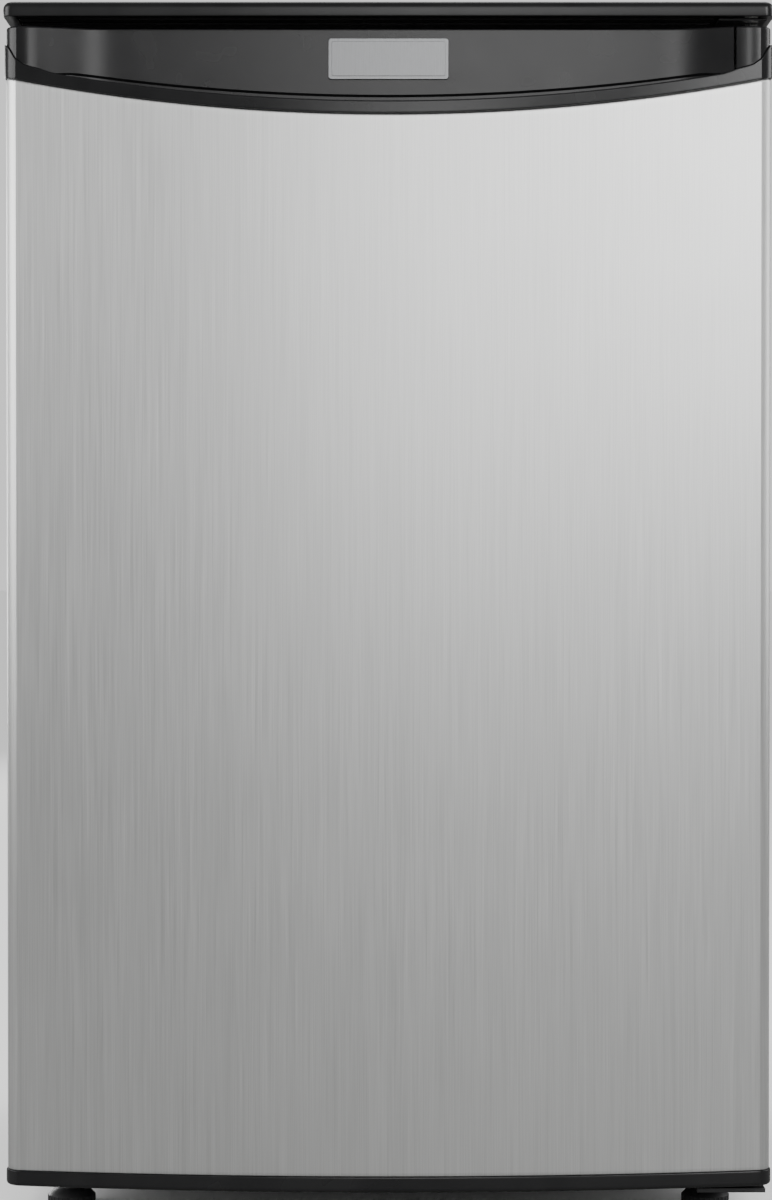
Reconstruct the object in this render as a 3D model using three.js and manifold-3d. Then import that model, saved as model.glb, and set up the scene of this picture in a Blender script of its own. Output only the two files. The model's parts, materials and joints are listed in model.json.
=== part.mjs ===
// Compact all-refrigerator: a foam-insulated cabinet under a flat worktop, a bowed door with a
// finger pocket along its top edge, glass shelves, a crisper drawer and the cooling circuit behind.
// Millimetres, +Z up, +X to the right of someone facing the door, which faces -Y.
// The origin is on the floor under the middle of the bounding box.
import * as THREE from "three";
import { mergeVertices } from "three/addons/utils/BufferGeometryUtils.js";
import Module from "manifold-3d";

const wasm = await Module();
wasm.setup();

// ---- driving dimensions ----
const WIDTH = 525.5;
const DEPTH = 541;
const HEIGHT = 840;
const FRONT = -DEPTH / 2;
const REAR = DEPTH / 2;
const GAP = 0.3; // between pieces that touch on the real object
const SHEET = 1; // painted steel sheet
const SKIN = 1.5; // vacuum-formed plastic

// cabinet
const CABINET_HALF = 260;
const CABINET_FACE = -190;
const CABINET_BACK = 232;
const CABINET_BASE = 29.6;
const CABINET_TOP = 830.5;
const WORKTOP_THICK = 9;
const WORKTOP_FRONT = -249;
const WORKTOP_REAR = 262;
const FACE_FLANGE = 26; // width of the painted steel return that the gasket closes on

// inside of the liner
const ROOM_HALF = 222;
const ROOM_FLOOR = 75;
const ROOM_CEILING = 790;
const ROOM_BACK = 190;
const STEP_FRONT = 60; // the liner steps up over the compressor here
const STEP_TOP = 245;
const NICHE_FRONT = 91;
const NICHE_TOP = 213;

// shelves and crisper
const SHELF_LEVELS = { upper: 610, lower: 430 };
const CRISPER_COVER_LEVEL = 245.3; // its glass also rests on the liner's step
const GLASS = 4;
const SHELF_FRONT = -98;
const SHELF_REAR = 184;
const SHELF_HALF = 218;

// thermostat and lamp housing under the ceiling
const HOUSING = { x0: 70, x1: 200, front: -140, middle: -60, rear: 20, low: 742 };
const KNOB_X = 105;
const KNOB_Z = 763;
const PLUNGER_X = 165;
const PLUNGER_Z = 778;
const LAMP_X = 135;
const LAMP_Z = 766;

// cooling circuit
const COMPRESSOR_X = 70;
const COMPRESSOR_Y = 178;
const GROMMET_X = 62;
const GROMMET_Y = 45;
const COIL_Y = 250;
const COIL_HALF = 205;
const COIL_TOP = 780;
const COIL_PITCH = 44;
const COIL_PASSES = 11;
const COIL_RADIUS = 2.5;
const DRIER = { x: -150, y: 205, low: 70, high: 178 };

// door
const DOOR_HALF = 262.3;
const DOOR_BACK = -203.6;
const DOOR_BOTTOM = 31.5;
const DOOR_TOP = 823;
const DOOR_CORNER = -248.8; // front face beside the rounded corners
const CORNER_WIDE = 8.5;
const CORNER_DEEP = 11;
const BOW_HALF = DOOR_HALF - CORNER_WIDE;
const BOW = DOOR_CORNER - FRONT;
const BOW_RADIUS = (BOW_HALF ** 2 + BOW ** 2) / (2 * BOW);
const PANEL_INSET = 0.9; // the plastic caps stand this far proud of the steel
const PANEL_BOTTOM = 42;
const PANEL_TOP = 760.4; // steel's top edge at the middle of the door
const PANEL_TOP_RADIUS = 1240;
const LIP = 8.7; // height of the pull lip above the steel
const LIP_WALL = 3;
const POCKET_BACK = -238;
const POCKET_END = -247.6;
const POCKET_FLAT_HALF = 190;
const POCKET_HALF = 251;
const TROUGH_FLOOR = 744.5;
const CAP_SKIRT = 723;
const CAP_WALL = 2.5;
const SPLIT_X = 235.4; // joint between the top cap and the hinge-side cover
const SPLIT_Z = 793;
const DIKE_DEEP = 38.6; // how far the door liner's ring reaches into the room
const RACKS = { top: [655, 708], middle: [425, 487], bottom: [95, 175] };
const BADGE = { half: 41, low: 788, high: 816, thick: 1.6, corner: 2 };

// hinges
const HINGE_X = 249;
const HINGE_Y = -222;
const PIN_RADIUS = 3.25;
const BUSH_RADIUS = 3.5;
const BRACKET_LOW = 25;
const BRACKET_HIGH = 28;

// feet and cord gland
const FOOT_X = 226;
const FOOT_Y = -158;
const REAR_FOOT_X = 225;
const GLAND_X = -205;
const GLAND_Z = 36.5;

// ---- materials ----
function finish(color, roughness, metalness = 0, extra = {}) {
  return new THREE.MeshStandardMaterial({ color, roughness, metalness, ...extra });
}
const GLOSS_BLACK = finish(0x1c1c1e, 0.25);
const SATIN_BLACK = finish(0x232324, 0.45);
const PAINTED_BLACK = finish(0x1e1e20, 0.5, 0.1);
const BRUSHED_STEEL = finish(0xb9bab8, 0.38, 0.9);
const BADGE_STEEL = finish(0xa9abab, 0.3, 0.9);
const LINER_WHITE = finish(0xf0f1ee, 0.4);
const CLEAR = finish(0xdfe9ea, 0.12, 0, { transparent: true, opacity: 0.4 });
const GLASS_GREEN = finish(0xcfe3dc, 0.05, 0, { transparent: true, opacity: 0.35 });
const RUBBER = finish(0x2a2a2b, 0.8);
const FOAM = finish(0xe6d9a8, 0.95);
const ZINC = finish(0xc4c6c8, 0.35, 0.9);
const GALVANISED = finish(0xa6abad, 0.5, 0.7);
const ALUMINIUM = finish(0xcfd2d3, 0.45, 0.8);
const COPPER = finish(0xb5714a, 0.35, 0.9);

// ---- geometry helpers ----
function box(x0, x1, y0, y1, z0, z1) {
  const geometry = new THREE.BoxGeometry(x1 - x0, y1 - y0, z1 - z0);
  geometry.translate((x0 + x1) / 2, (y0 + y1) / 2, (z0 + z1) / 2);
  return geometry;
}

function outline(points) {
  return new THREE.Shape(points.map(([x, y]) => new THREE.Vector2(x, y)));
}

// a plan outline in X and Y, raised from z0 to z1
function raise(shape, z0, z1) {
  const geometry = new THREE.ExtrudeGeometry(shape, { depth: z1 - z0, bevelEnabled: false });
  geometry.translate(0, 0, z0);
  return geometry;
}

// a side outline in Y and Z, run across from x0 to x1
function across(shape, x0, x1) {
  const geometry = raise(shape, x0, x1);
  const turn = new THREE.Matrix4().makeBasis(
    new THREE.Vector3(0, 1, 0),
    new THREE.Vector3(0, 0, 1),
    new THREE.Vector3(1, 0, 0),
  );
  geometry.applyMatrix4(turn);
  return geometry;
}

// a front outline in X and Z, run through from y0 to y1
function through(shape, y0, y1) {
  const geometry = raise(shape, -y1, -y0);
  const turn = new THREE.Matrix4().makeBasis(
    new THREE.Vector3(1, 0, 0),
    new THREE.Vector3(0, 0, 1),
    new THREE.Vector3(0, -1, 0),
  );
  geometry.applyMatrix4(turn);
  return geometry;
}

function rod(x, y, radius, z0, z1, sides = 20) {
  const geometry = new THREE.CylinderGeometry(radius, radius, z1 - z0, sides);
  geometry.rotateX(Math.PI / 2);
  geometry.translate(x, y, (z0 + z1) / 2);
  return geometry;
}

function rodAlongY(x, z, radius, y0, y1, sides = 20) {
  const geometry = new THREE.CylinderGeometry(radius, radius, y1 - y0, sides);
  geometry.translate(x, (y0 + y1) / 2, z);
  return geometry;
}

// a turned piece about a vertical axis; profile holds radius and height pairs from bottom to top
function turned(profile, x, y, sides = 24) {
  const points = profile.map(([r, z]) => new THREE.Vector2(r, z));
  const geometry = new THREE.LatheGeometry(points, sides);
  geometry.rotateX(Math.PI / 2);
  geometry.translate(x, y, 0);
  return geometry;
}

function toSolid(geometry) {
  const plain = geometry.clone();
  plain.deleteAttribute("normal");
  plain.deleteAttribute("uv");
  const merged = mergeVertices(plain, 1e-4);
  return new wasm.Manifold(new wasm.Mesh({
    numProp: 3,
    vertProperties: new Float32Array(merged.attributes.position.array),
    triVerts: new Uint32Array(merged.index.array),
  }));
}

function toGeometry(solid) {
  const { vertProperties, triVerts } = solid.getMesh();
  const geometry = new THREE.BufferGeometry();
  geometry.setAttribute("position", new THREE.BufferAttribute(vertProperties, 3));
  geometry.setIndex(new THREE.BufferAttribute(triVerts, 1));
  geometry.computeVertexNormals();
  return geometry;
}

function join(...pieces) {
  return toGeometry(pieces.map(toSolid).reduce((sum, next) => sum.add(next)));
}

function cut(piece, ...tools) {
  return toGeometry(tools.map(toSolid).reduce((rest, tool) => rest.subtract(tool), toSolid(piece)));
}

function overlap(a, b) {
  return toGeometry(toSolid(a).intersect(toSolid(b)));
}

// a curve that visits every route point exactly, one extrusion step for each
class Route extends THREE.Curve {
  constructor(points) {
    super();
    this.points = points.map(([x, y, z]) => new THREE.Vector3(x, y, z));
  }

  getPoint(t, target = new THREE.Vector3()) {
    const place = Math.min(Math.max(t, 0), 1) * (this.points.length - 1);
    const index = Math.min(Math.floor(place), this.points.length - 2);
    return target.lerpVectors(this.points[index], this.points[index + 1], place - index);
  }

  getUtoTmapping(u) {
    return u;
  }
}

function tube(points, radius, sides = 8) {
  const section = new THREE.Shape();
  section.absarc(0, 0, radius, 0, Math.PI * 2);
  return new THREE.ExtrudeGeometry(section, {
    steps: points.length - 1,
    curveSegments: sides,
    extrudePath: new Route(points),
  });
}

// smooth route through a few hand-set points
function smoothRoute(points, steps) {
  const curve = new THREE.CatmullRomCurve3(
    points.map(([x, y, z]) => new THREE.Vector3(x, y, z)),
    false,
    "centripetal",
  );
  return curve.getSpacedPoints(steps).map((p) => [p.x, p.y, p.z]);
}

const fridge = new THREE.Group();

function add(name, geometry, material) {
  const mesh = new THREE.Mesh(geometry, material);
  mesh.name = name;
  fridge.add(mesh);
}

// ---- cabinet shell ----
function roundedPlan(half, y0, y1, radius) {
  const shape = new THREE.Shape();
  shape.moveTo(-half, y1);
  shape.lineTo(-half, y0 + radius);
  shape.absarc(-half + radius, y0 + radius, radius, Math.PI, Math.PI * 1.5);
  shape.lineTo(half - radius, y0);
  shape.absarc(half - radius, y0 + radius, radius, Math.PI * 1.5, Math.PI * 2);
  shape.lineTo(half, y1);
  return shape;
}

function worktop() {
  const half = WIDTH / 2;
  const underside = HEIGHT - WORKTOP_THICK;
  const cornerRadius = 7;
  const rim = 14;
  const slab = raise(roundedPlan(half, WORKTOP_FRONT, WORKTOP_REAR, cornerRadius), underside, HEIGHT);
  const skirtInner = CABINET_HALF + 2 * GAP;
  const skirtLow = 818;
  const skirts = [-1, 1].map((side) => {
    const inner = side * skirtInner;
    const outer = side * half;
    const x0 = Math.min(inner, outer);
    const x1 = Math.max(inner, outer);
    return box(x0, x1, CABINET_FACE, CABINET_BACK, skirtLow, HEIGHT - 1);
  });
  const hollows = [];
  const bays = 4;
  const bayWidth = (2 * half - (bays + 1) * rim) / bays;
  for (let bay = 0; bay < bays; bay += 1) {
    const x0 = -half + rim + bay * (bayWidth + rim);
    hollows.push(box(x0, x0 + bayWidth, CABINET_FACE + rim, CABINET_BACK, underside - 1, HEIGHT - 3));
  }
  return cut(join(slab, ...skirts), ...hollows);
}

function sidePanel(side) {
  const outer = CABINET_HALF;
  const inner = outer - SHEET;
  const frontReturn = outer - FACE_FLANGE;
  const rearReturn = outer - 14;
  const shape = outline([
    [side * outer, CABINET_FACE],
    [side * outer, CABINET_BACK],
    [side * rearReturn, CABINET_BACK],
    [side * rearReturn, CABINET_BACK - SHEET],
    [side * inner, CABINET_BACK - SHEET],
    [side * inner, CABINET_FACE + SHEET],
    [side * frontReturn, CABINET_FACE + SHEET],
    [side * frontReturn, CABINET_FACE],
  ]);
  return raise(shape, CABINET_BASE, CABINET_TOP);
}

function topFrontRail() {
  const half = CABINET_HALF - FACE_FLANGE - GAP;
  const low = ROOM_CEILING + 6.3;
  const plate = box(-half, half, CABINET_FACE, CABINET_FACE + SHEET, low, CABINET_TOP);
  const bead = box(-half, 222, CABINET_FACE - 1.2, CABINET_FACE + 0.5, 825.4, 826.8);
  return join(plate, bead);
}

function bottomFrontRail() {
  const half = CABINET_HALF - FACE_FLANGE - GAP;
  return box(-half, half, CABINET_FACE, CABINET_FACE + SHEET, CABINET_BASE, ROOM_FLOOR - 6.3);
}

function rearStepPanel() {
  const shape = outline([
    [NICHE_FRONT, CABINET_BASE],
    [NICHE_FRONT + SHEET, CABINET_BASE],
    [NICHE_FRONT + SHEET, NICHE_TOP],
    [CABINET_BACK - SHEET - GAP, NICHE_TOP],
    [CABINET_BACK - SHEET - GAP, NICHE_TOP + SHEET],
    [NICHE_FRONT, NICHE_TOP + SHEET],
  ]);
  return across(shape, -CABINET_HALF + SHEET + GAP, CABINET_HALF - SHEET - GAP);
}

function backPanel() {
  const half = CABINET_HALF - 0.5;
  const y0 = CABINET_BACK + GAP;
  return box(-half, half, y0, y0 + 0.8, NICHE_TOP + SHEET + 0.5, CABINET_TOP);
}

function basePan() {
  const half = CABINET_HALF - SHEET - 0.4;
  const pan = box(-half, half, CABINET_FACE + SHEET + GAP, NICHE_FRONT, 28.3, 29.3);
  const holes = [-FOOT_X, FOOT_X].map((x) => rod(x, FOOT_Y, 5.6, 20, 35));
  return cut(pan, ...holes);
}

function compressorPlate() {
  const shape = outline([
    [72, 25.6],
    [WORKTOP_REAR, 25.6],
    [WORKTOP_REAR, 46],
    [WORKTOP_REAR - 2, 46],
    [WORKTOP_REAR - 2, 27.6],
    [72, 27.6],
  ]);
  return across(shape, -257, 257);
}

// ---- liner and foam ----
// side outline of the room, grown outwards by a margin; the mouth end stays open
function roomProfile(margin, mouth) {
  return outline([
    [mouth, ROOM_FLOOR - margin],
    [STEP_FRONT + margin, ROOM_FLOOR - margin],
    [STEP_FRONT + margin, STEP_TOP - margin],
    [ROOM_BACK + margin, STEP_TOP - margin],
    [ROOM_BACK + margin, ROOM_CEILING + margin],
    [mouth, ROOM_CEILING + margin],
  ]);
}

function cabinetLiner() {
  const outside = across(roomProfile(SKIN, CABINET_FACE), -ROOM_HALF - SKIN, ROOM_HALF + SKIN);
  const flangeHalf = CABINET_HALF - FACE_FLANGE - 0.4;
  const flange = box(
    -flangeHalf,
    flangeHalf,
    CABINET_FACE,
    CABINET_FACE + SKIN,
    ROOM_FLOOR - 6,
    ROOM_CEILING + 6,
  );
  const inside = across(roomProfile(0, CABINET_FACE - 1), -ROOM_HALF, ROOM_HALF);
  const ledges = [];
  const ledgeReach = 10;
  const ledgeHigh = 6;
  const levels = [SHELF_LEVELS.upper, 520, SHELF_LEVELS.lower, 340, CRISPER_COVER_LEVEL];
  for (const level of levels) {
    const rear = level === CRISPER_COVER_LEVEL ? STEP_FRONT + 0.5 : ROOM_BACK + 0.5;
    const high = level - GAP;
    for (const side of [-1, 1]) {
      const wall = side * (ROOM_HALF + 0.5);
      const tip = side * (ROOM_HALF - ledgeReach);
      const x0 = Math.min(wall, tip);
      ledges.push(box(x0, x0 + ledgeReach + 0.5, SHELF_FRONT, rear, high - ledgeHigh, high));
    }
  }
  return join(cut(join(outside, flange), inside), ...ledges);
}

function cabinetFoam() {
  const half = CABINET_HALF - SHEET - GAP;
  const front = CABINET_FACE + SKIN + GAP;
  const rear = CABINET_BACK - SHEET - GAP;
  const block = box(-half, half, front, rear, CABINET_BASE, CABINET_TOP - 2);
  const nicheTop = NICHE_TOP + SHEET + GAP;
  const niche = box(-half - 1, half + 1, NICHE_FRONT - GAP, CABINET_BACK, CABINET_BASE - 1, nicheTop);
  const margin = SKIN + GAP;
  const room = across(roomProfile(margin, CABINET_FACE), -ROOM_HALF - margin, ROOM_HALF + margin);
  const studs = [-FOOT_X, FOOT_X].map((x) => rod(x, FOOT_Y, 6.2, 20, 38));
  return cut(block, niche, room, ...studs);
}

// ---- room fittings ----
function shelfGlass(level) {
  return box(-SHELF_HALF, SHELF_HALF, SHELF_FRONT, SHELF_REAR, level, level + GLASS);
}

function shelfTrim(level) {
  const y1 = SHELF_FRONT - GAP;
  const shape = outline([
    [y1, level - 6],
    [y1, level + GLASS + 1.5],
    [y1 - 2.5, level + GLASS + 2.5],
    [y1 - 4.7, level + GLASS],
    [y1 - 4.7, level - 3],
    [y1 - 2.5, level - 6],
  ]);
  return across(shape, -SHELF_HALF, SHELF_HALF);
}

function openTray(x0, x1, y0, y1, z0, z1, wall) {
  const shell = box(x0, x1, y0, y1, z0, z1);
  return cut(shell, box(x0 + wall, x1 - wall, y0 + wall, y1 - wall, z0 + wall, z1 + 1));
}

function evaporatorPlate() {
  return box(-190, 190, ROOM_BACK - 2.5, ROOM_BACK - 0.4, 445, 762);
}

function lidlessBox(y0, y1) {
  const { x0, x1, low } = HOUSING;
  const wall = 2;
  const high = ROOM_CEILING - GAP;
  const shell = box(x0, x1, y0, y1, low, high);
  return cut(shell, box(x0 + wall, x1 - wall, y0 + wall, y1 - wall, low + wall, high + 1));
}

function controlHousing() {
  const shell = lidlessBox(HOUSING.front, HOUSING.middle);
  const spindleHole = rodAlongY(KNOB_X, KNOB_Z, 4.5, HOUSING.front - 1, HOUSING.front + 5);
  const plungerHole = rodAlongY(PLUNGER_X, PLUNGER_Z, 4.4, HOUSING.front - 1, HOUSING.front + 5);
  const lampHole = rodAlongY(LAMP_X, LAMP_Z, 12, HOUSING.middle - 5, HOUSING.middle + 1);
  return cut(shell, spindleHole, plungerHole, lampHole);
}

function lampLens() {
  const lens = lidlessBox(HOUSING.middle + GAP, HOUSING.rear);
  const lampHole = rodAlongY(LAMP_X, LAMP_Z, 12, HOUSING.middle - 1, HOUSING.middle + 5);
  return cut(lens, lampHole);
}

function lampBulb() {
  const profile = [
    [0, -66], [6, -66], [6.5, -50], [8, -44], [10.5, -34], [11, -26], [9, -18], [5, -13], [0, -11.5],
  ];
  const bulb = new THREE.LatheGeometry(profile.map(([r, y]) => new THREE.Vector2(r, y)), 20);
  bulb.translate(LAMP_X, 0, LAMP_Z);
  return bulb;
}

function lampSocket() {
  const sleeve = rodAlongY(LAMP_X, LAMP_Z, 11.5, -92, -58, 20);
  return cut(sleeve, rodAlongY(LAMP_X, LAMP_Z, 7.2, -67, -50, 20));
}

function thermostatBody() {
  return box(KNOB_X - 18, KNOB_X + 18, HOUSING.front + 12.3, HOUSING.front + 42, KNOB_Z - 14, KNOB_Z + 14);
}

function thermostatKnob() {
  const face = HOUSING.front;
  const grip = rodAlongY(KNOB_X, KNOB_Z, 16, face - 14, face - 0.6, 24);
  const spindle = rodAlongY(KNOB_X, KNOB_Z, 3, face - 2, face + 12, 12);
  const finger = box(KNOB_X - 2.2, KNOB_X + 2.2, face - 18, face - 10, KNOB_Z - 13, KNOB_Z + 13);
  return join(grip, spindle, finger);
}

function switchPlunger() {
  const dike = DOOR_BACK + DIKE_DEEP;
  const stem = rodAlongY(PLUNGER_X, PLUNGER_Z, 4, dike + 0.6, HOUSING.front + 10, 16);
  const collar = rodAlongY(PLUNGER_X, PLUNGER_Z, 6, HOUSING.front + 9, HOUSING.front + 12, 16);
  return join(stem, collar);
}

function crisperDrawer() {
  const tray = openTray(-206, 206, SHELF_FRONT, 52, ROOM_FLOOR + 3, 236, 2.5);
  const pull = box(-70, 70, SHELF_FRONT - 7, SHELF_FRONT + 1, 224, 236);
  const pullRecess = box(-67, 67, SHELF_FRONT - 4.5, SHELF_FRONT, 220, 232.5);
  return join(tray, cut(pull, pullRecess));
}

// ---- cooling circuit ----
function compressorShell() {
  const can = turned([
    [0, 48], [40, 49], [58, 55], [66, 66], [68, 80], [68, 108], [72, 108.5], [72, 112.5],
    [68, 113], [67, 140], [61, 160], [44, 173], [0, 177],
  ], COMPRESSOR_X, COMPRESSOR_Y, 28);
  const base = box(
    COMPRESSOR_X - GROMMET_X - 14,
    COMPRESSOR_X + GROMMET_X + 14,
    COMPRESSOR_Y - GROMMET_Y - 14,
    COMPRESSOR_Y + GROMMET_Y + 14,
    46,
    49,
  );
  return join(can, base);
}

function grommet(x, y) {
  return turned([
    [0, 27.9], [11, 27.9], [11, 32], [8.5, 34], [8.5, 40], [11, 42], [11, 45.7], [0, 45.7],
  ], x, y, 16);
}

function relayCover() {
  const block = box(COMPRESSOR_X - 108, COMPRESSOR_X - 55, COMPRESSOR_Y - 26, COMPRESSOR_Y + 26, 70, 132);
  return cut(block, rod(COMPRESSOR_X, COMPRESSOR_Y, 72.4, 60, 140, 28));
}

function dripTray() {
  return openTray(COMPRESSOR_X - 66, COMPRESSOR_X + 66, COMPRESSOR_Y - 48, COMPRESSOR_Y + 48, 178, 203, 2);
}

function filterDrier() {
  const { x, y, low, high } = DRIER;
  return turned([
    [0, low], [3, low], [4, low + 8], [9, low + 18], [9, high - 18], [4, high - 8], [3, high], [0, high],
  ], x, y, 16);
}

// one tube: back and forth across the rear wall, then down its left edge to the filter drier
function condenserCoil() {
  const route = [[COIL_HALF, COIL_Y, COIL_TOP]];
  const bendSteps = 5;
  const bendRadius = COIL_PITCH / 2;
  for (let pass = 0; pass < COIL_PASSES - 1; pass += 1) {
    const side = pass % 2 === 0 ? -1 : 1;
    const z = COIL_TOP - pass * COIL_PITCH;
    for (let step = 0; step <= bendSteps; step += 1) {
      const angle = (Math.PI * step) / bendSteps;
      const x = side * (COIL_HALF - bendRadius + bendRadius * Math.sin(angle));
      route.push([x, COIL_Y, z - bendRadius + bendRadius * Math.cos(angle)]);
    }
  }
  const last = COIL_TOP - (COIL_PASSES - 1) * COIL_PITCH;
  const tail = smoothRoute([
    [-COIL_HALF, COIL_Y, last],
    [-222, COIL_Y, last - 8],
    [-230, COIL_Y, last - 30],
    [-230, COIL_Y, 250],
    [-222, 246, 218],
    [-195, 232, 198],
    [-165, 213, 197],
    [DRIER.x - 2, DRIER.y + 1, 192],
    [DRIER.x, DRIER.y, DRIER.high + 1],
  ], 22);
  return tube([...route, ...tail], COIL_RADIUS, 6);
}

function dischargeLine() {
  const route = smoothRoute([
    [119, 227, 135],
    [132, 240, 139],
    [160, 250, 165],
    [205, 252, 215],
    [230, 250, 280],
    [232, 250, 450],
    [232, 250, 600],
    [231, 250, 755],
    [223, 250, 776],
    [207, 250, COIL_TOP],
  ], 36);
  return tube(route, COIL_RADIUS, 6);
}

function suctionLine() {
  const route = smoothRoute([
    [139.5, 172, 128],
    [158, 170, 128],
    [184, 168, 136],
    [198, 168, 160],
    [200, 168, 190],
    [200, 168, 212],
  ], 20);
  return tube(route, 4, 8);
}

function condenserClip(x, z) {
  const shape = outline([
    [CABINET_BACK + 1.4, z - 12],
    [CABINET_BACK + 1.4, z + 12],
    [CABINET_BACK + 6, z + 12],
    [CABINET_BACK + 10, z + 5],
    [REAR - 4, z + 5],
    [REAR, z + 3],
    [REAR, z - 3],
    [REAR - 4, z - 5],
    [CABINET_BACK + 10, z - 5],
    [CABINET_BACK + 6, z - 12],
  ]);
  return across(shape, x - 6, x + 6);
}

function cordGland() {
  const collar = rodAlongY(GLAND_X, GLAND_Z, 8, WORKTOP_REAR + GAP, WORKTOP_REAR + 3, 16);
  const neck = rodAlongY(GLAND_X, GLAND_Z, 5, WORKTOP_REAR + 2, WORKTOP_REAR + 8, 16);
  const bore = rodAlongY(GLAND_X, GLAND_Z, 3.4, WORKTOP_REAR + 1.5, WORKTOP_REAR + 9, 12);
  return cut(join(collar, neck), bore);
}

// ---- hinges and feet ----
function topHingeBracket() {
  const side = outline([
    [-236, 828.6],
    [CABINET_FACE - 3, 828.6],
    [CABINET_FACE - 3, 812.5],
    [CABINET_FACE - 0.4, 812.5],
    [CABINET_FACE - 0.4, 830.5],
    [-236, 830.5],
  ]);
  return across(side, 226, 259);
}

function topHingePin() {
  return rod(HINGE_X, HINGE_Y, PIN_RADIUS, 804, 828.3, 20);
}

function bottomHingeBracket() {
  const plate = box(212, 259, -238, -132, BRACKET_LOW, BRACKET_HIGH);
  const hole = rod(FOOT_X, FOOT_Y, 5.6, 20, 35);
  const pin = rod(HINGE_X, HINGE_Y, PIN_RADIUS, BRACKET_LOW + 1, 43, 20);
  const washer = rod(HINGE_X, HINGE_Y, 6.5, BRACKET_LOW + 1, 31, 20);
  return join(cut(plate, hole), pin, washer);
}

function levellingFoot(x) {
  return turned([
    [0, 0], [15, 0], [17, 2], [17, 8], [14, 11], [8, 13], [8, 21], [5, 21], [5, 36], [0, 36],
  ], x, FOOT_Y, 20);
}

function rearFoot(x) {
  return turned([[0, 0], [13, 0], [15, 2], [15, 25.3], [0, 25.3]], x, 232, 20);
}

// ---- door ----
// distance by which the bowed front lies behind its foremost line, at x across the door
function bowDrop(x) {
  return BOW_RADIUS - Math.sqrt(BOW_RADIUS ** 2 - x * x);
}

function smooth(t) {
  return t * t * (3 - 2 * t);
}

// plan outline of the door, shrunk by an inset all round; steps divides the bow
function doorPlan(inset, back = DOOR_BACK - SKIN - GAP, steps = 20) {
  const points = [[DOOR_HALF - inset, back], [-DOOR_HALF + inset, back]];
  const wide = CORNER_WIDE - inset;
  const deep = CORNER_DEEP - inset;
  const cornerSteps = 5;
  const left = [];
  for (let step = 0; step <= cornerSteps; step += 1) {
    const angle = (Math.PI / 2) * (step / cornerSteps);
    const x = -BOW_HALF - wide * Math.cos(angle);
    left.push([x, DOOR_CORNER + CORNER_DEEP - deep * Math.sin(angle)]);
  }
  points.push(...left.slice(0, -1));
  for (let step = 0; step <= steps; step += 1) {
    const x = -BOW_HALF + (2 * BOW_HALF * step) / steps;
    points.push([x, FRONT + inset + bowDrop(x)]);
  }
  points.push(...left.slice(0, -1).reverse().map(([x, y]) => [-x, y]));
  return outline(points.reverse());
}

// the finger pocket's back wall: straight across, easing out to the door's front at both ends
function pocketFace(x) {
  const t = (Math.abs(x) - POCKET_FLAT_HALF) / (POCKET_HALF - POCKET_FLAT_HALF);
  return POCKET_BACK + (POCKET_END - POCKET_BACK) * smooth(Math.min(Math.max(t, 0), 1));
}

function pocketLine(half, shift) {
  const points = [];
  const endSteps = 8;
  for (let step = 0; step <= endSteps; step += 1) {
    const x = -half + ((half - POCKET_FLAT_HALF) * step) / endSteps;
    points.push([x, pocketFace(x) + shift]);
  }
  return [...points, ...points.map(([x, y]) => [-x, y]).reverse()];
}

// height of the steel's top edge at x across the door
function panelEdge(x) {
  return PANEL_TOP + PANEL_TOP_RADIUS - Math.sqrt(PANEL_TOP_RADIUS ** 2 - x * x);
}

function edgeLine(lift, half = DOOR_HALF + 2) {
  const points = [];
  const steps = 24;
  for (let step = 0; step <= steps; step += 1) {
    const x = -half + (2 * half * step) / steps;
    points.push([x, panelEdge(x) + lift]);
  }
  return points;
}

// everything above the arched edge, as a block through the door
function aboveEdge(lift) {
  const line = edgeLine(lift);
  const half = DOOR_HALF + 2;
  return through(outline([...line, [half, 900], [-half, 900]]), -300, -150);
}

function belowEdge(lift) {
  const line = edgeLine(lift);
  const half = DOOR_HALF + 2;
  return through(outline([[-half, 0], [half, 0], ...line.reverse()]), -300, -150);
}

// front outline of the pocket: the lip's arch, then a rise to the corners at both ends
function pocketMouth() {
  const rise = [
    [238, 794.3], [246, 795.6], [251, 797.6], [255, 801.5], [258, 806.5], [262, 811], [266, 813],
  ];
  const arch = edgeLine(LIP, 228);
  const line = [...rise.map(([x, z]) => [-x, z]).reverse(), ...arch, ...rise];
  return through(outline([...line, [266, 900], [-266, 900]]), -300, -150);
}

function pocketSpace() {
  const line = pocketLine(POCKET_HALF, 0);
  const plan = outline([[-POCKET_HALF, -300], [POCKET_HALF, -300], ...line.reverse()]);
  return overlap(raise(plan, 700, 900), pocketMouth());
}

// the slot behind the pull lip
function trough() {
  const half = 216;
  const front = [];
  const steps = 16;
  for (let step = 0; step <= steps; step += 1) {
    const x = -half + (2 * half * step) / steps;
    front.push([x, FRONT + LIP_WALL + bowDrop(x)]);
  }
  const back = pocketLine(half, 0);
  return raise(outline([...front, ...back.reverse()]), TROUGH_FLOOR, 800);
}

// space inside the cap for the foam, a wall's thickness inside everything you can touch
function capHollow(extra) {
  const wall = CAP_WALL + extra;
  const back = DOOR_BACK - SKIN - GAP - wall;
  const low = raise(doorPlan(PANEL_INSET + 1 + wall, back), CAP_SKIRT - 1, TROUGH_FLOOR - wall);
  const half = 240;
  const front = pocketLine(half, wall).reverse();
  const plan = outline([[-half, back], [half, back], ...front].reverse());
  const high = raise(plan, CAP_SKIRT - 1, DOOR_TOP - wall);
  const hingeEnd = box(SPLIT_X - wall, 300, -300, -190, SPLIT_Z - wall, 900);
  return cut(join(low, high), hingeEnd);
}

function topCapBlank() {
  const crown = overlap(raise(doorPlan(0), CAP_SKIRT, DOOR_TOP), aboveEdge(0));
  const skirt = overlap(raise(doorPlan(PANEL_INSET + 1), CAP_SKIRT, DOOR_TOP), belowEdge(0.5));
  return cut(join(crown, skirt), pocketSpace(), trough());
}

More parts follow.
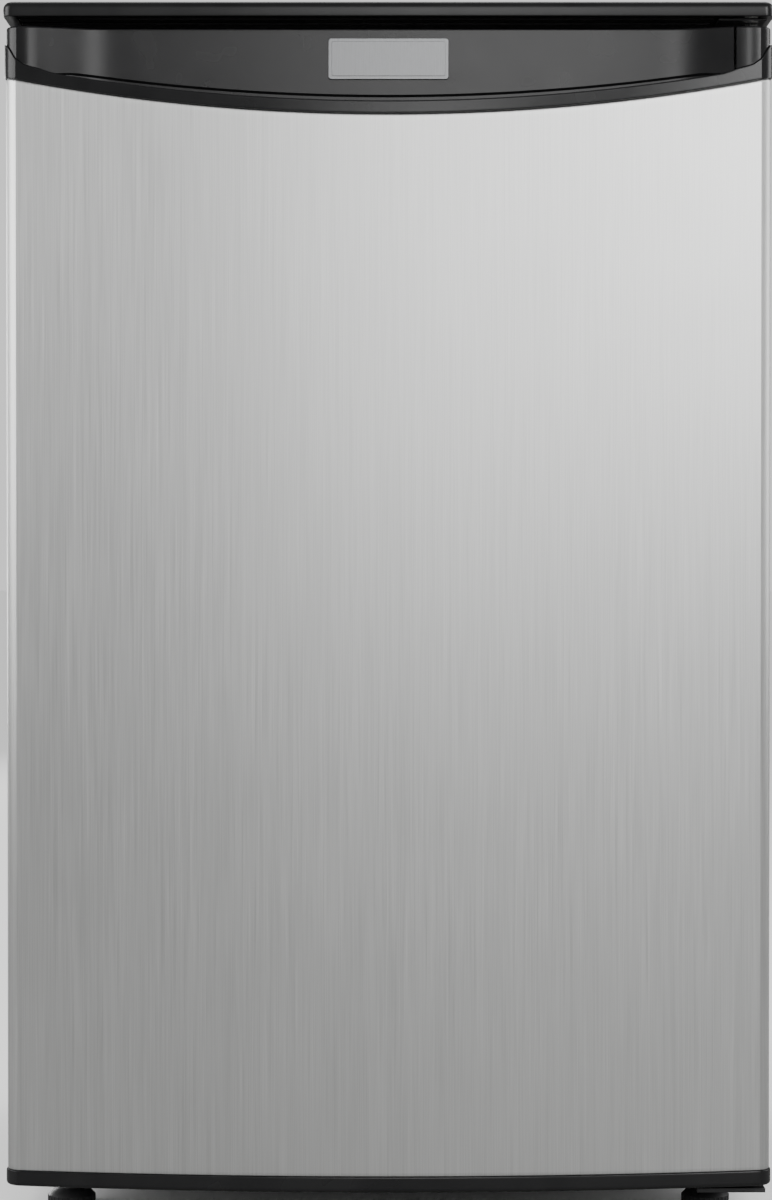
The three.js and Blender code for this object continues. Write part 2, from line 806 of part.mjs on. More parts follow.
function topCap() {
  const hingeEnd = box(SPLIT_X - GAP, 300, -300, -150, SPLIT_Z - GAP, 900);
  return cut(topCapBlank(), capHollow(0), hingeEnd);
}

function hingeEndCover() {
  const corner = overlap(topCapBlank(), box(SPLIT_X + 1.2, 300, -300, -150, SPLIT_Z, 900));
  const inner = box(SPLIT_X + 4, DOOR_HALF - 2.6, -243, -208, SPLIT_Z - 1, DOOR_TOP - 2.6);
  const bush = rod(HINGE_X, HINGE_Y, 7, SPLIT_Z, DOOR_TOP, 20);
  const shell = cut(corner, inner);
  return cut(join(shell, bush), rod(HINGE_X, HINGE_Y, BUSH_RADIUS, SPLIT_Z - 5, DOOR_TOP + 5, 20));
}

function frontPanel() {
  const backEdge = DOOR_BACK - SKIN - GAP;
  const outer = raise(doorPlan(PANEL_INSET, backEdge), PANEL_BOTTOM + GAP, 800);
  const inner = raise(doorPlan(PANEL_INSET + 0.7, backEdge + 5), 0, 900);
  return cut(outer, inner, aboveEdge(-GAP));
}

function bottomCap() {
  const rim = raise(doorPlan(0), DOOR_BOTTOM, PANEL_BOTTOM);
  const tongue = raise(doorPlan(PANEL_INSET + 1), PANEL_BOTTOM - 1, 57);
  const inner = raise(doorPlan(PANEL_INSET + 1 + CAP_WALL, DOOR_BACK - 5), DOOR_BOTTOM + CAP_WALL, 58);
  const bush = rod(HINGE_X, HINGE_Y, 7, DOOR_BOTTOM, 46, 20);
  return cut(join(cut(join(rim, tongue), inner), bush), rod(HINGE_X, HINGE_Y, BUSH_RADIUS, 20, 44, 20));
}

function doorFoam() {
  const slack = GAP + 0.1;
  const wall = PANEL_INSET + 1 + CAP_WALL + slack;
  const back = DOOR_BACK - SKIN - 2 * GAP;
  const low = raise(doorPlan(wall, DOOR_BACK - 5.4), DOOR_BOTTOM + CAP_WALL + slack, 58);
  const middle = raise(doorPlan(PANEL_INSET + 0.7 + GAP, back), 57.4, CAP_SKIRT - GAP);
  const high = capHollow(slack);
  const bush = rod(HINGE_X, HINGE_Y, 7.5, 20, 46.5, 20);
  return cut(join(low, middle, high), bush);
}

function doorLiner() {
  const y0 = DOOR_BACK - SKIN;
  const plate = box(-258, 258, y0, DOOR_BACK, DOOR_BOTTOM + 1.5, DOOR_TOP - 1.5);
  const ring = box(-213, 213, DOOR_BACK - 1, DOOR_BACK + DIKE_DEEP, 82, 784);
  const well = box(-205, 205, DOOR_BACK, DOOR_BACK + DIKE_DEEP + 1, 90, 775);
  const walls = cut(ring, well);
  return join(plate, walls);
}

// a rectangle with rounded corners, seen from the front
function roundedFront(half, low, high, radius) {
  const shape = new THREE.Shape();
  shape.absarc(half - radius, low + radius, radius, Math.PI * 1.5, Math.PI * 2);
  shape.absarc(half - radius, high - radius, radius, 0, Math.PI * 0.5);
  shape.absarc(-half + radius, high - radius, radius, Math.PI * 0.5, Math.PI);
  shape.absarc(-half + radius, low + radius, radius, Math.PI, Math.PI * 1.5);
  return new THREE.Shape(shape.getPoints(4));
}

function doorGasket() {
  const y0 = DOOR_BACK + GAP;
  const y1 = CABINET_FACE - 0.5;
  const outer = through(roundedFront(251.5, 52, 811.5, 6), y0, y1);
  const inner = through(roundedFront(237, 66.5, 797, 3), y0 - 1, y1 + 1);
  const groove = cut(
    through(roundedFront(260, 40, 820, 6), y0 + 4, y0 + 6.5),
    through(roundedFront(248.5, 55, 808.5, 5), y0 + 3, y0 + 7),
  );
  return cut(outer, inner, groove);
}

function doorRack([z0, z1]) {
  return openTray(-204.5, 204.5, DOOR_BACK + 0.4, -112, z0, z1, 2.5);
}

function badge() {
  const { half, low, high, thick, corner } = BADGE;
  const shape = roundedFront(half, low, high, corner);
  return through(shape, POCKET_BACK - GAP - thick, POCKET_BACK - GAP);
}

// ---- assembly ----
add("worktop", worktop(), SATIN_BLACK);
add("side_panel_left", sidePanel(-1), PAINTED_BLACK);
add("side_panel_right", sidePanel(1), PAINTED_BLACK);
add("top_front_rail", topFrontRail(), PAINTED_BLACK);
add("bottom_front_rail", bottomFrontRail(), PAINTED_BLACK);
add("back_panel", backPanel(), GALVANISED);
add("rear_step_panel", rearStepPanel(), GALVANISED);
add("base_pan", basePan(), GALVANISED);
add("compressor_plate", compressorPlate(), GALVANISED);
add("cabinet_liner", cabinetLiner(), LINER_WHITE);
add("cabinet_foam", cabinetFoam(), FOAM);
add("evaporator_plate", evaporatorPlate(), ALUMINIUM);
add("control_housing", controlHousing(), LINER_WHITE);
add("thermostat_body", thermostatBody(), GALVANISED);
add("lamp_lens", lampLens(), CLEAR);
add("lamp_socket", lampSocket(), SATIN_BLACK);
add("lamp_bulb", lampBulb(), CLEAR);
add("shelf_glass_upper", shelfGlass(SHELF_LEVELS.upper), GLASS_GREEN);
add("shelf_glass_lower", shelfGlass(SHELF_LEVELS.lower), GLASS_GREEN);
add("crisper_cover_glass", shelfGlass(CRISPER_COVER_LEVEL), GLASS_GREEN);
add("shelf_trim_upper", shelfTrim(SHELF_LEVELS.upper), LINER_WHITE);
add("shelf_trim_lower", shelfTrim(SHELF_LEVELS.lower), LINER_WHITE);
add("crisper_cover_trim", shelfTrim(CRISPER_COVER_LEVEL), LINER_WHITE);
add("compressor_shell", compressorShell(), PAINTED_BLACK);
add("compressor_relay_cover", relayCover(), SATIN_BLACK);
for (const [end, x] of [["left", -GROMMET_X], ["right", GROMMET_X]]) {
  for (const [row, y] of [["front", -GROMMET_Y], ["rear", GROMMET_Y]]) {
    add(`compressor_grommet_${row}_${end}`, grommet(COMPRESSOR_X + x, COMPRESSOR_Y + y), RUBBER);
  }
}
add("drip_tray", dripTray(), SATIN_BLACK);
add("filter_drier", filterDrier(), COPPER);
add("suction_line", suctionLine(), COPPER);
add("discharge_line", dischargeLine(), COPPER);
add("condenser_coil", condenserCoil(), PAINTED_BLACK);
for (const [end, x] of [["left", -170], ["right", 170]]) {
  for (const [row, z] of [["lower", 406], ["upper", 714]]) {
    add(`condenser_clip_${row}_${end}`, condenserClip(x, z), SATIN_BLACK);
  }
}
add("cord_gland", cordGland(), RUBBER);
add("top_hinge_bracket", topHingeBracket(), PAINTED_BLACK);
add("top_hinge_pin", topHingePin(), ZINC);
add("bottom_hinge_bracket", bottomHingeBracket(), PAINTED_BLACK);
add("rear_foot_left", rearFoot(-REAR_FOOT_X), RUBBER);
add("rear_foot_right", rearFoot(REAR_FOOT_X), RUBBER);
add("levelling_foot_left", levellingFoot(-FOOT_X), SATIN_BLACK);
add("levelling_foot_right", levellingFoot(FOOT_X), SATIN_BLACK);
add("thermostat_knob", thermostatKnob(), LINER_WHITE);
add("light_switch_plunger", switchPlunger(), LINER_WHITE);
add("crisper_drawer", crisperDrawer(), CLEAR);
add("door_front_panel", frontPanel(), BRUSHED_STEEL);
add("door_top_cap", topCap(), GLOSS_BLACK);
add("hinge_end_cover", hingeEndCover(), GLOSS_BLACK);
add("badge_plate", badge(), BADGE_STEEL);
add("door_bottom_cap", bottomCap(), GLOSS_BLACK);
add("door_foam", doorFoam(), FOAM);
add("door_liner", doorLiner(), LINER_WHITE);
add("door_gasket", doorGasket(), RUBBER);
for (const [name, span] of Object.entries(RACKS)) {
  add(`door_rack_${name}`, doorRack(span), CLEAR);
}

export default fridge;
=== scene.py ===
# Compact refrigerator: the looks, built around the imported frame. Metres, +Z up, the door faces -Y.
# Shapes are given in millimetres and turned into metres where the mesh is made.
import json
import math

import bpy
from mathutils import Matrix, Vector

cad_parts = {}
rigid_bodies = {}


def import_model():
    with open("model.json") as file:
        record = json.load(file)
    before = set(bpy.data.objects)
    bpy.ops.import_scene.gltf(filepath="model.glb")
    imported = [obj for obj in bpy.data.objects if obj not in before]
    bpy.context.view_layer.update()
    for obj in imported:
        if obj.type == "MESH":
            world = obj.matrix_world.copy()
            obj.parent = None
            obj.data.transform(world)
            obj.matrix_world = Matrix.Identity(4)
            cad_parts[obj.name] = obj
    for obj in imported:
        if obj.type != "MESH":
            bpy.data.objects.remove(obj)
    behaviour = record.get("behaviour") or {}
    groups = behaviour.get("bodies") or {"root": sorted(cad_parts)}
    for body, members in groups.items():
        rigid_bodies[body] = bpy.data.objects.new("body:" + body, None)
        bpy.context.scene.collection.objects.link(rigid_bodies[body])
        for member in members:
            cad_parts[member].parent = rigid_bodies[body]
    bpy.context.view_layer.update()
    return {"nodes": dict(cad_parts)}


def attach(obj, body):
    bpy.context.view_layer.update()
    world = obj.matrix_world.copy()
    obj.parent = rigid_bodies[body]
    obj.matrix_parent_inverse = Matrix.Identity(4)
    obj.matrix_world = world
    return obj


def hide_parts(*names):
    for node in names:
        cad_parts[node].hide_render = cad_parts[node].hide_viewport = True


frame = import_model()
nodes = frame["nodes"]
print("frame loaded:", len(nodes), "nodes")

mm = 0.001


# small tools that the pieces below share
def deselectAll():
    if bpy.context.mode != "OBJECT":
        bpy.ops.object.mode_set(mode="OBJECT")
    bpy.ops.object.select_all(action="DESELECT")


def makeActive(piece):
    deselectAll()
    piece.select_set(True)
    bpy.context.view_layer.objects.active = piece


def joinPieces(pieces):
    makeActive(pieces[0])
    for piece in pieces[1:]:
        piece.select_set(True)
    bpy.ops.object.join()
    return bpy.context.object


def duplicate(piece, shift=(0, 0, 0)):
    makeActive(piece)
    bpy.ops.object.duplicate()
    bpy.ops.transform.translate(value=[value * mm for value in shift])
    bpy.ops.object.transform_apply(location=True, rotation=True, scale=True)
    return bpy.context.object


# opens the piece in edit mode with only the chosen faces selected; test gets centre and normal, in mm
def pickFaces(piece, test):
    makeActive(piece)
    bpy.ops.object.mode_set(mode="EDIT")
    bpy.ops.mesh.select_mode(type="FACE")
    bpy.ops.mesh.select_all(action="DESELECT")
    bpy.ops.object.mode_set(mode="OBJECT")
    for face in piece.data.polygons:
        face.select = test(face.center / mm, face.normal)
    bpy.ops.object.mode_set(mode="EDIT")


# the same for edges; test gets the two ends, in mm
def pickEdges(piece, test):
    makeActive(piece)
    bpy.ops.object.mode_set(mode="EDIT")
    bpy.ops.mesh.select_mode(type="EDGE")
    bpy.ops.mesh.select_all(action="DESELECT")
    bpy.ops.object.mode_set(mode="OBJECT")
    points = piece.data.vertices
    for edge in piece.data.edges:
        a, b = (points[index].co / mm for index in edge.vertices)
        edge.select = test(a, b)
    bpy.ops.object.mode_set(mode="EDIT")


def leaveEdit():
    bpy.ops.object.mode_set(mode="OBJECT")


# rounds the edges of what pick and test choose
def bevelWhere(piece, pick, test, width, segments):
    pick(piece, test)
    bpy.ops.mesh.bevel(offset=width * mm, segments=segments, affect="EDGES")
    leaveEdit()


def applyModifier(piece, modifier):
    makeActive(piece)
    bpy.ops.object.modifier_apply(modifier=modifier.name)


def smoothBy(piece, angle=35):
    makeActive(piece)
    bpy.ops.object.shade_smooth_by_angle(angle=math.radians(angle))


# rounds the edges sharper than angle, then smooths the shading over them
def soften(piece, width, segments=2, angle=35):
    smoothBy(piece, angle)
    bevel = piece.modifiers.new("softEdge", "BEVEL")
    bevel.width = width * mm
    bevel.segments = segments
    bevel.limit_method = "ANGLE"
    bevel.angle_limit = math.radians(angle)
    bevel.harden_normals = True
    bevel.miter_outer = "MITER_ARC"
    applyModifier(piece, bevel)
    return piece


def thicken(piece, depth, offset=-1):
    wall = piece.modifiers.new("wall", "SOLIDIFY")
    wall.thickness = depth * mm
    wall.offset = offset
    wall.use_even_offset = True
    applyModifier(piece, wall)
    return piece


def cutAway(piece, tool):
    hole = piece.modifiers.new("hole", "BOOLEAN")
    hole.operation = "DIFFERENCE"
    hole.solver = "EXACT"
    hole.object = tool
    applyModifier(piece, hole)
    bpy.data.objects.remove(tool, do_unlink=True)
    return piece


def repeat(piece, count, step):
    row = piece.modifiers.new("row", "ARRAY")
    row.count = count
    row.use_relative_offset = False
    row.use_constant_offset = True
    row.constant_offset_displace = [value * mm for value in step]
    applyModifier(piece, row)
    return piece


def outward(piece):
    makeActive(piece)
    bpy.ops.object.mode_set(mode="EDIT")
    bpy.ops.mesh.select_all(action="SELECT")
    bpy.ops.mesh.remove_doubles(threshold=0.00001)
    bpy.ops.mesh.dissolve_degenerate(threshold=0.000005)
    bpy.ops.mesh.normals_make_consistent(inside=False)
    bpy.ops.object.mode_set(mode="OBJECT")
    return piece


# a block between two corners
def block(low, high, soft=0.0, segments=2):
    centre = [(a + b) / 2 * mm for a, b in zip(low, high)]
    deselectAll()
    bpy.ops.mesh.primitive_cube_add(size=1, location=centre)
    piece = bpy.context.object
    piece.scale = [(b - a) * mm for a, b in zip(low, high)]
    bpy.ops.object.transform_apply(location=True, rotation=True, scale=True)
    if soft:
        soften(piece, soft, segments)
    return piece


# a round bar from one point to another
def bar(start, end, radius, sides=32, soft=0.0):
    a, b = Vector(start) * mm, Vector(end) * mm
    deselectAll()
    bpy.ops.mesh.primitive_cylinder_add(
        vertices=sides,
        radius=radius * mm,
        depth=(b - a).length,
        location=(a + b) / 2,
        rotation=(b - a).to_track_quat("Z", "Y").to_euler(),
    )
    piece = bpy.context.object
    bpy.ops.object.transform_apply(location=True, rotation=True, scale=True)
    smoothBy(piece)
    if soft:
        soften(piece, soft)
    return piece


# a tube through points, in mm
def tube(points, radius, sides=5, smooth=True):
    curve = bpy.data.curves.new("tube", "CURVE")
    curve.dimensions = "3D"
    curve.bevel_depth = radius * mm
    curve.bevel_resolution = sides
    curve.use_fill_caps = True
    kind = "NURBS" if smooth else "POLY"
    line = curve.splines.new(kind)
    line.points.add(len(points) - 1)
    for point, place in zip(line.points, points):
        point.co = (*(value * mm for value in place), 1)
    if smooth:
        line.order_u = 4
        line.use_endpoint_u = True
        line.resolution_u = 6
    piece = bpy.data.objects.new("tube", curve)
    bpy.context.collection.objects.link(piece)
    makeActive(piece)
    bpy.ops.object.convert(target="MESH")
    piece = bpy.context.object
    smoothBy(piece, 50)
    return piece


# a mesh from points in mm
def meshOf(points, faces, edges=()):
    mesh = bpy.data.meshes.new("shape")
    mesh.from_pydata([[value * mm for value in point] for point in points], edges, faces)
    piece = bpy.data.objects.new("shape", mesh)
    bpy.context.collection.objects.link(piece)
    return piece


# a profile of (radius, distance along the axis) pairs, spun round the axis
def turned(profile, place, axis="Z", steps=48, soft=0.0):
    along = {"Z": (0, 0, 1), "Y": (0, 1, 0), "X": (1, 0, 0)}[axis]
    out = (0, 0, 1) if axis == "X" else (1, 0, 0)
    points = []
    for radius, height in profile:
        points.append([c + radius * o + height * a for c, o, a in zip(place, out, along)])
    chain = [(index, index + 1) for index in range(len(points) - 1)]
    piece = meshOf(points, (), chain)
    makeActive(piece)
    bpy.ops.object.mode_set(mode="EDIT")
    bpy.ops.mesh.select_all(action="SELECT")
    centre = [value * mm for value in place]
    bpy.ops.mesh.spin(steps=steps, angle=math.tau, center=centre, axis=along)
    bpy.ops.object.mode_set(mode="OBJECT")
    outward(piece)
    smoothBy(piece)
    if soft:
        soften(piece, soft)
    return piece


# closed sections joined side by side, with both ends filled
def loft(sections, smooth=30):
    count = len(sections[0])
    points = [point for section in sections for point in section]
    faces = []
    for row in range(len(sections) - 1):
        for index in range(count):
            after = (index + 1) % count
            a, b = row * count + index, row * count + after
            faces.append((a, b, b + count, a + count))
    last = (len(sections) - 1) * count
    faces.append(tuple(range(count)))
    faces.append(tuple(range(last, last + count)))
    piece = meshOf(points, faces)
    outward(piece)
    smoothBy(piece, smooth)
    return piece


# a flat outline in (a, b) pairs made solid along one axis between two places
def slab(outline, axis, start, end, soft=0.0, segments=2):
    order = {
        "X": lambda a, b, c: (c, a, b),
        "Y": lambda a, b, c: (a, c, b),
        "Z": lambda a, b, c: (a, b, c),
    }[axis]
    sections = [[order(a, b, place) for a, b in outline] for place in (start, end)]
    piece = loft(sections)
    if soft:
        soften(piece, soft, segments)
    return piece


# a free copy of a CAD node with its loose triangles merged into clean faces
def softCopy(node, soft=0.0, segments=2, angle=35, flat=1.0):
    makeActive(nodes[node])
    bpy.ops.object.duplicate()
    piece = bpy.context.object
    bpy.ops.object.parent_clear(type="CLEAR_KEEP_TRANSFORM")
    for key in list(piece.keys()):
        if key.startswith("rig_"):
            del piece[key]
    bpy.ops.object.transform_apply(location=True, rotation=True, scale=True)
    bpy.ops.object.mode_set(mode="EDIT")
    bpy.ops.mesh.select_all(action="SELECT")
    bpy.ops.mesh.remove_doubles(threshold=0.00002)
    bpy.ops.mesh.dissolve_limited(angle_limit=math.radians(flat))
    bpy.ops.object.mode_set(mode="OBJECT")
    smoothBy(piece, angle)
    if soft:
        soften(piece, soft, segments, angle)
    return piece


# patterns that the finishes share
def addNode(tree, kind, place, **values):
    node = tree.nodes.new(kind)
    node.location = place
    for name, value in values.items():
        setattr(node, name, value)
    return node


def newGroup(name, inputs, outputs):
    group = bpy.data.node_groups.new(name, "ShaderNodeTree")
    for label, kind, value in inputs:
        socket = group.interface.new_socket(name=label, in_out="INPUT", socket_type=kind)
        if value is not None:
            socket.default_value = value
    for label in outputs:
        group.interface.new_socket(name=label, in_out="OUTPUT", socket_type="NodeSocketFloat")
    start = addNode(group, "NodeGroupInput", (-800, 0))
    end = addNode(group, "NodeGroupOutput", (600, 0))
    return group, start, end


def noiseInto(group, start, place, scaleTimes, detail):
    times = addNode(group, "ShaderNodeMath", (place[0] - 200, place[1]), operation="MULTIPLY")
    times.inputs[1].default_value = scaleTimes
    noise = addNode(group, "ShaderNodeTexNoise", place)
    noise.inputs["Detail"].default_value = detail
    group.links.new(start.outputs["Scale"], times.inputs[0])
    group.links.new(times.outputs[0], noise.inputs["Scale"])
    group.links.new(start.outputs["Vector"], noise.inputs["Vector"])
    return noise


def stretchContrast(group, source, low, high, place):
    ramp = addNode(group, "ShaderNodeMapRange", place)
    ramp.inputs["From Min"].default_value = low
    ramp.inputs["From Max"].default_value = high
    group.links.new(source, ramp.inputs["Value"])
    return ramp.outputs["Result"]


patternInputs = (
    ("Vector", "NodeSocketVector", None),
    ("Scale", "NodeSocketFloat", 400.0),
)


# fine moulded or sprayed grain over slow cloudy tone
def makeGrainGroup():
    group, start, end = newGroup("mouldedGrain", patternInputs, ("Tone", "Height"))
    fine = noiseInto(group, start, (-300, 200), 1.0, 3.0)
    slow = noiseInto(group, start, (-300, -200), 0.02, 2.0)
    tone = stretchContrast(group, slow.outputs["Fac"], 0.3, 0.7, (0, -200))
    height = stretchContrast(group, fine.outputs["Fac"], 0.3, 0.7, (0, 200))
    group.links.new(tone, end.inputs["Tone"])
    group.links.new(height, end.inputs["Height"])
    return group


# long brushed lines; the vector comes in squeezed along the brushing
def makeBrushGroup():
    group, start, end = newGroup("brushedLines", patternInputs, ("Tone", "Height"))
    fine = noiseInto(group, start, (-300, 200), 1.0, 3.0)
    wide = noiseInto(group, start, (-300, -200), 0.3, 2.0)
    blend = addNode(group, "ShaderNodeMix", (0, 0))
    blend.inputs["Factor"].default_value = 0.3
    group.links.new(fine.outputs["Fac"], blend.inputs["A"])
    group.links.new(wide.outputs["Fac"], blend.inputs["B"])
    tone = stretchContrast(group, blend.outputs["Result"], 0.32, 0.68, (200, -100))
    height = stretchContrast(group, fine.outputs["Fac"], 0.3, 0.7, (200, 200))
    group.links.new(tone, end.inputs["Tone"])
    group.links.new(height, end.inputs["Height"])
    return group


# zinc crystals: flat cells of slightly different grey
def makeSpangleGroup():
    group, start, end = newGroup("zincSpangle", patternInputs, ("Tone", "Height"))
    cells = addNode(group, "ShaderNodeTexVoronoi", (-300, 100))
    group.links.new(start.outputs["Scale"], cells.inputs["Scale"])
    group.links.new(start.outputs["Vector"], cells.inputs["Vector"])
    split = addNode(group, "ShaderNodeSeparateColor", (-80, 100))
    group.links.new(cells.outputs["Color"], split.inputs["Color"])
    fine = noiseInto(group, start, (-300, -250), 3.0, 2.0)
    group.links.new(split.outputs[0], end.inputs["Tone"])
    group.links.new(fine.outputs["Fac"], end.inputs["Height"])
    return group


# soft handling marks, large and faint
def makeSmudgeGroup():
    group, start, end = newGroup("handlingMarks", patternInputs, ("Amount",))
    cloud = noiseInto(group, start, (-300, 100), 1.0, 4.0)
    amount = stretchContrast(group, cloud.outputs["Fac"], 0.25, 0.85, (0, 100))
    group.links.new(amount, end.inputs["Amount"])
    return group


patternGroups = {
    "grain": makeGrainGroup(),
    "brush": makeBrushGroup(),
    "spangle": makeSpangleGroup(),
}
smudgeGroup = makeSmudgeGroup()

# colours are scene linear; scale is per metre; stretch squeezes the pattern along an axis
plainFinish = {"pattern": "grain", "stretch": (1, 1, 1), "metal": 0.0, "smudge": 0.0}
# each finish says only where it differs from the plain one
finishSet = {
    "brushedSteel": {
        "slot": "brushed_steel", "pattern": "brush", "scale": 1500, "stretch": (1, 1, 0.008),
        "dark": (0.59, 0.595, 0.588), "light": (0.71, 0.713, 0.705), "metal": 1.0,
        "rough": (0.39, 0.44), "bump": 0.04, "smudge": 0.02, "brushed": 0.45,
    },
    "glossBlack": {
        "slot": "gloss_plastic", "scale": 1600,
        "dark": (0.008, 0.008, 0.0084), "light": (0.011, 0.011, 0.0114),
        "rough": (0.24, 0.28), "bump": 0.04, "specular": 0.3,
    },
    "worktopBlack": {
        "slot": "worktop_plastic", "scale": 1500,
        "dark": (0.007, 0.007, 0.0074), "light": (0.010, 0.010, 0.0104),
        "rough": (0.28, 0.34), "bump": 0.03, "specular": 0.3,
    },
    "paintedBlack": {
        "slot": "painted_steel", "scale": 420,
        "dark": (0.016, 0.016, 0.017), "light": (0.022, 0.022, 0.023),
        "rough": (0.36, 0.46), "bump": 0.30, "smudge": 0.02,
    },
    "satinBlack": {
        "slot": "satin_plastic", "scale": 1300,
        "dark": (0.017, 0.017, 0.018), "light": (0.025, 0.025, 0.026),
        "rough": (0.42, 0.52), "bump": 0.18, "smudge": 0.05,
    },
    "galvanised": {
        "slot": "galvanised_steel", "pattern": "spangle", "scale": 130,
        "dark": (0.36, 0.37, 0.38), "light": (0.52, 0.53, 0.54), "metal": 0.85,
        "rough": (0.38, 0.55), "bump": 0.05, "smudge": 0.08,
    },
    "linerWhite": {
        "slot": "liner_plastic", "scale": 900,
        "dark": (0.76, 0.765, 0.745), "light": (0.81, 0.815, 0.80),
        "rough": (0.26, 0.36), "bump": 0.06, "smudge": 0.05,
    },
    "foam": {
        "slot": "foam", "scale": 260,
        "dark": (0.62, 0.50, 0.24), "light": (0.78, 0.68, 0.40),
        "rough": (0.85, 0.95), "bump": 0.6,
    },
    "coldPlate": {
        "slot": "evaporator_aluminium", "scale": 700,
        "dark": (0.66, 0.67, 0.68), "light": (0.78, 0.79, 0.80), "metal": 0.7,
        "rough": (0.38, 0.5), "bump": 0.08, "smudge": 0.08,
    },
    "rubber": {
        "slot": "rubber", "scale": 1500,
        "dark": (0.020, 0.020, 0.021), "light": (0.036, 0.036, 0.036),
        "rough": (0.62, 0.78), "bump": 0.15, "smudge": 0.05,
    },
    "copper": {
        "slot": "copper", "scale": 900,
        "dark": (0.42, 0.17, 0.08), "light": (0.80, 0.38, 0.22), "metal": 1.0,
        "rough": (0.26, 0.45), "bump": 0.08, "smudge": 0.12,
    },
    "pinSteel": {
        "slot": "pin_steel", "pattern": "brush", "scale": 2500, "stretch": (1, 1, 0.05),
        "dark": (0.55, 0.55, 0.54), "light": (0.74, 0.74, 0.73), "metal": 1.0,
        "rough": (0.20, 0.32), "bump": 0.05, "smudge": 0.05,
    },
    "badgeMetal": {
        "slot": "badge_metal", "pattern": "brush", "scale": 2600, "stretch": (1, 1, 0.02),
        "dark": (0.17, 0.173, 0.177), "light": (0.225, 0.228, 0.232), "metal": 1.0,
        "rough": (0.34, 0.42), "bump": 0.04,
    },
    "clearPlastic": {
        "slot": "clear_plastic", "scale": 600,
        "dark": (0.90, 0.94, 0.95), "light": (0.95, 0.98, 0.985),
        "rough": (0.05, 0.12), "bump": 0.03, "smudge": 0.05, "clear": 1.0, "ior": 1.3,
    },
    "shelfGlass": {
        "slot": "shelf_glass", "scale": 60,
        "dark": (0.86, 0.95, 0.92), "light": (0.90, 0.97, 0.945),
        "rough": (0.0, 0.03), "bump": 0.01, "smudge": 0.02, "clear": 1.0, "ior": 1.45,
    },
    "bulbGlass": {
        "slot": "bulb_glass", "scale": 500,
        "dark": (0.95, 0.93, 0.88), "light": (0.98, 0.97, 0.94),
        "rough": (0.15, 0.25), "bump": 0.02, "clear": 0.8, "ior": 1.3,
    },
}


bumpDistance = 0.0004
smudgeScale = 14


def makeFinish(name, row):
    material = bpy.data.materials.new(name)
    material.use_nodes = True
    tree = material.node_tree
    shader = tree.nodes["Principled BSDF"]
    place = addNode(tree, "ShaderNodeTexCoord", (-1300, 0))
    mapping = addNode(tree, "ShaderNodeMapping", (-1100, 0))
    mapping.inputs["Scale"].default_value = row["stretch"]
    pattern = addNode(tree, "ShaderNodeGroup", (-880, 0))
    pattern.node_tree = patternGroups[row["pattern"]]
    pattern.inputs["Scale"].default_value = row["scale"]
    colour = addNode(tree, "ShaderNodeMix", (-600, 200), data_type="RGBA")
    colour.inputs["A"].default_value = (*row["dark"], 1)
    colour.inputs["B"].default_value = (*row["light"], 1)
    rough = addNode(tree, "ShaderNodeMapRange", (-600, -80))
    rough.inputs["To Min"].default_value = row["rough"][0]
    rough.inputs["To Max"].default_value = row["rough"][1]
    bump = addNode(tree, "ShaderNodeBump", (-300, -300))
    bump.inputs["Strength"].default_value = row["bump"]
    bump.inputs["Distance"].default_value = bumpDistance
    wire = tree.links.new
    wire(place.outputs["Object"], mapping.inputs["Vector"])
    wire(mapping.outputs["Vector"], pattern.inputs["Vector"])
    wire(pattern.outputs["Tone"], colour.inputs["Factor"])
    wire(pattern.outputs["Tone"], rough.inputs["Value"])
    wire(pattern.outputs["Height"], bump.inputs["Height"])
    wire(colour.outputs["Result"], shader.inputs["Base Color"])
    wire(bump.outputs["Normal"], shader.inputs["Normal"])
    if row["smudge"]:
        marks = addNode(tree, "ShaderNodeGroup", (-880, -300))
        marks.node_tree = smudgeGroup
        marks.inputs["Scale"].default_value = smudgeScale
        wire(place.outputs["Object"], marks.inputs["Vector"])
        more = addNode(tree, "ShaderNodeMath", (-600, -340), operation="MULTIPLY")
        more.inputs[1].default_value = row["smudge"]
        total = addNode(tree, "ShaderNodeMath", (-400, -100), operation="ADD")
        wire(marks.outputs["Amount"], more.inputs[0])
        wire(rough.outputs["Result"], total.inputs[0])
        wire(more.outputs[0], total.inputs[1])
        wire(total.outputs[0], shader.inputs["Roughness"])
    else:
        wire(rough.outputs["Result"], shader.inputs["Roughness"])
    shader.inputs["Metallic"].default_value = row["metal"]
    if "specular" in row:
        shader.inputs["Specular IOR Level"].default_value = row["specular"]
    if "brushed" in row:
        tangent = addNode(tree, "ShaderNodeTangent", (-300, -500), direction_type="RADIAL", axis="Z")
        shader.inputs["Anisotropic"].default_value = row["brushed"]
        wire(tangent.outputs["Tangent"], shader.inputs["Tangent"])
    if "clear" in row:
        shader.inputs["Transmission Weight"].default_value = row["clear"]
        shader.inputs["IOR"].default_value = row["ior"]
    return material


finishes = {name: makeFinish(name, {**plainFinish, **row}) for name, row in finishSet.items()}
print("finishes made:", len(finishes))


# names a finished piece, gives it its finish and hangs it on its body
def settle(piece, name, body, finish, *stoodFor):
    piece.name = name
    piece.data.name = name
    piece.data.materials.clear()
    piece.data.materials.append(finishes[finish])
    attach(piece, body)
    if stoodFor:
        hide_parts(*stoodFor)
    return piece


def paintNode(node, finish):
    mesh = nodes[node].data
    mesh.materials.clear()
    mesh.materials.append(finishes[finish])


# the door in plan, with its bow and corners
doorSet = {
    "half": 262.3, "front": -270.5, "back": -205.4, "cornerWide": 8.5, "cornerDeep": 11,
    "bowEnd": -248.8, "bowRadius": 1495.05, "cornerStart": 30, "steelTop": 760.4,
    "archRadius": 1240, "top": 823, "bottom": 31.5, "steelBottom": 42,
}
bowHalf = doorSet["half"] - doorSet["cornerWide"]
hingePin = (249, -222)
pinHole = 3.6


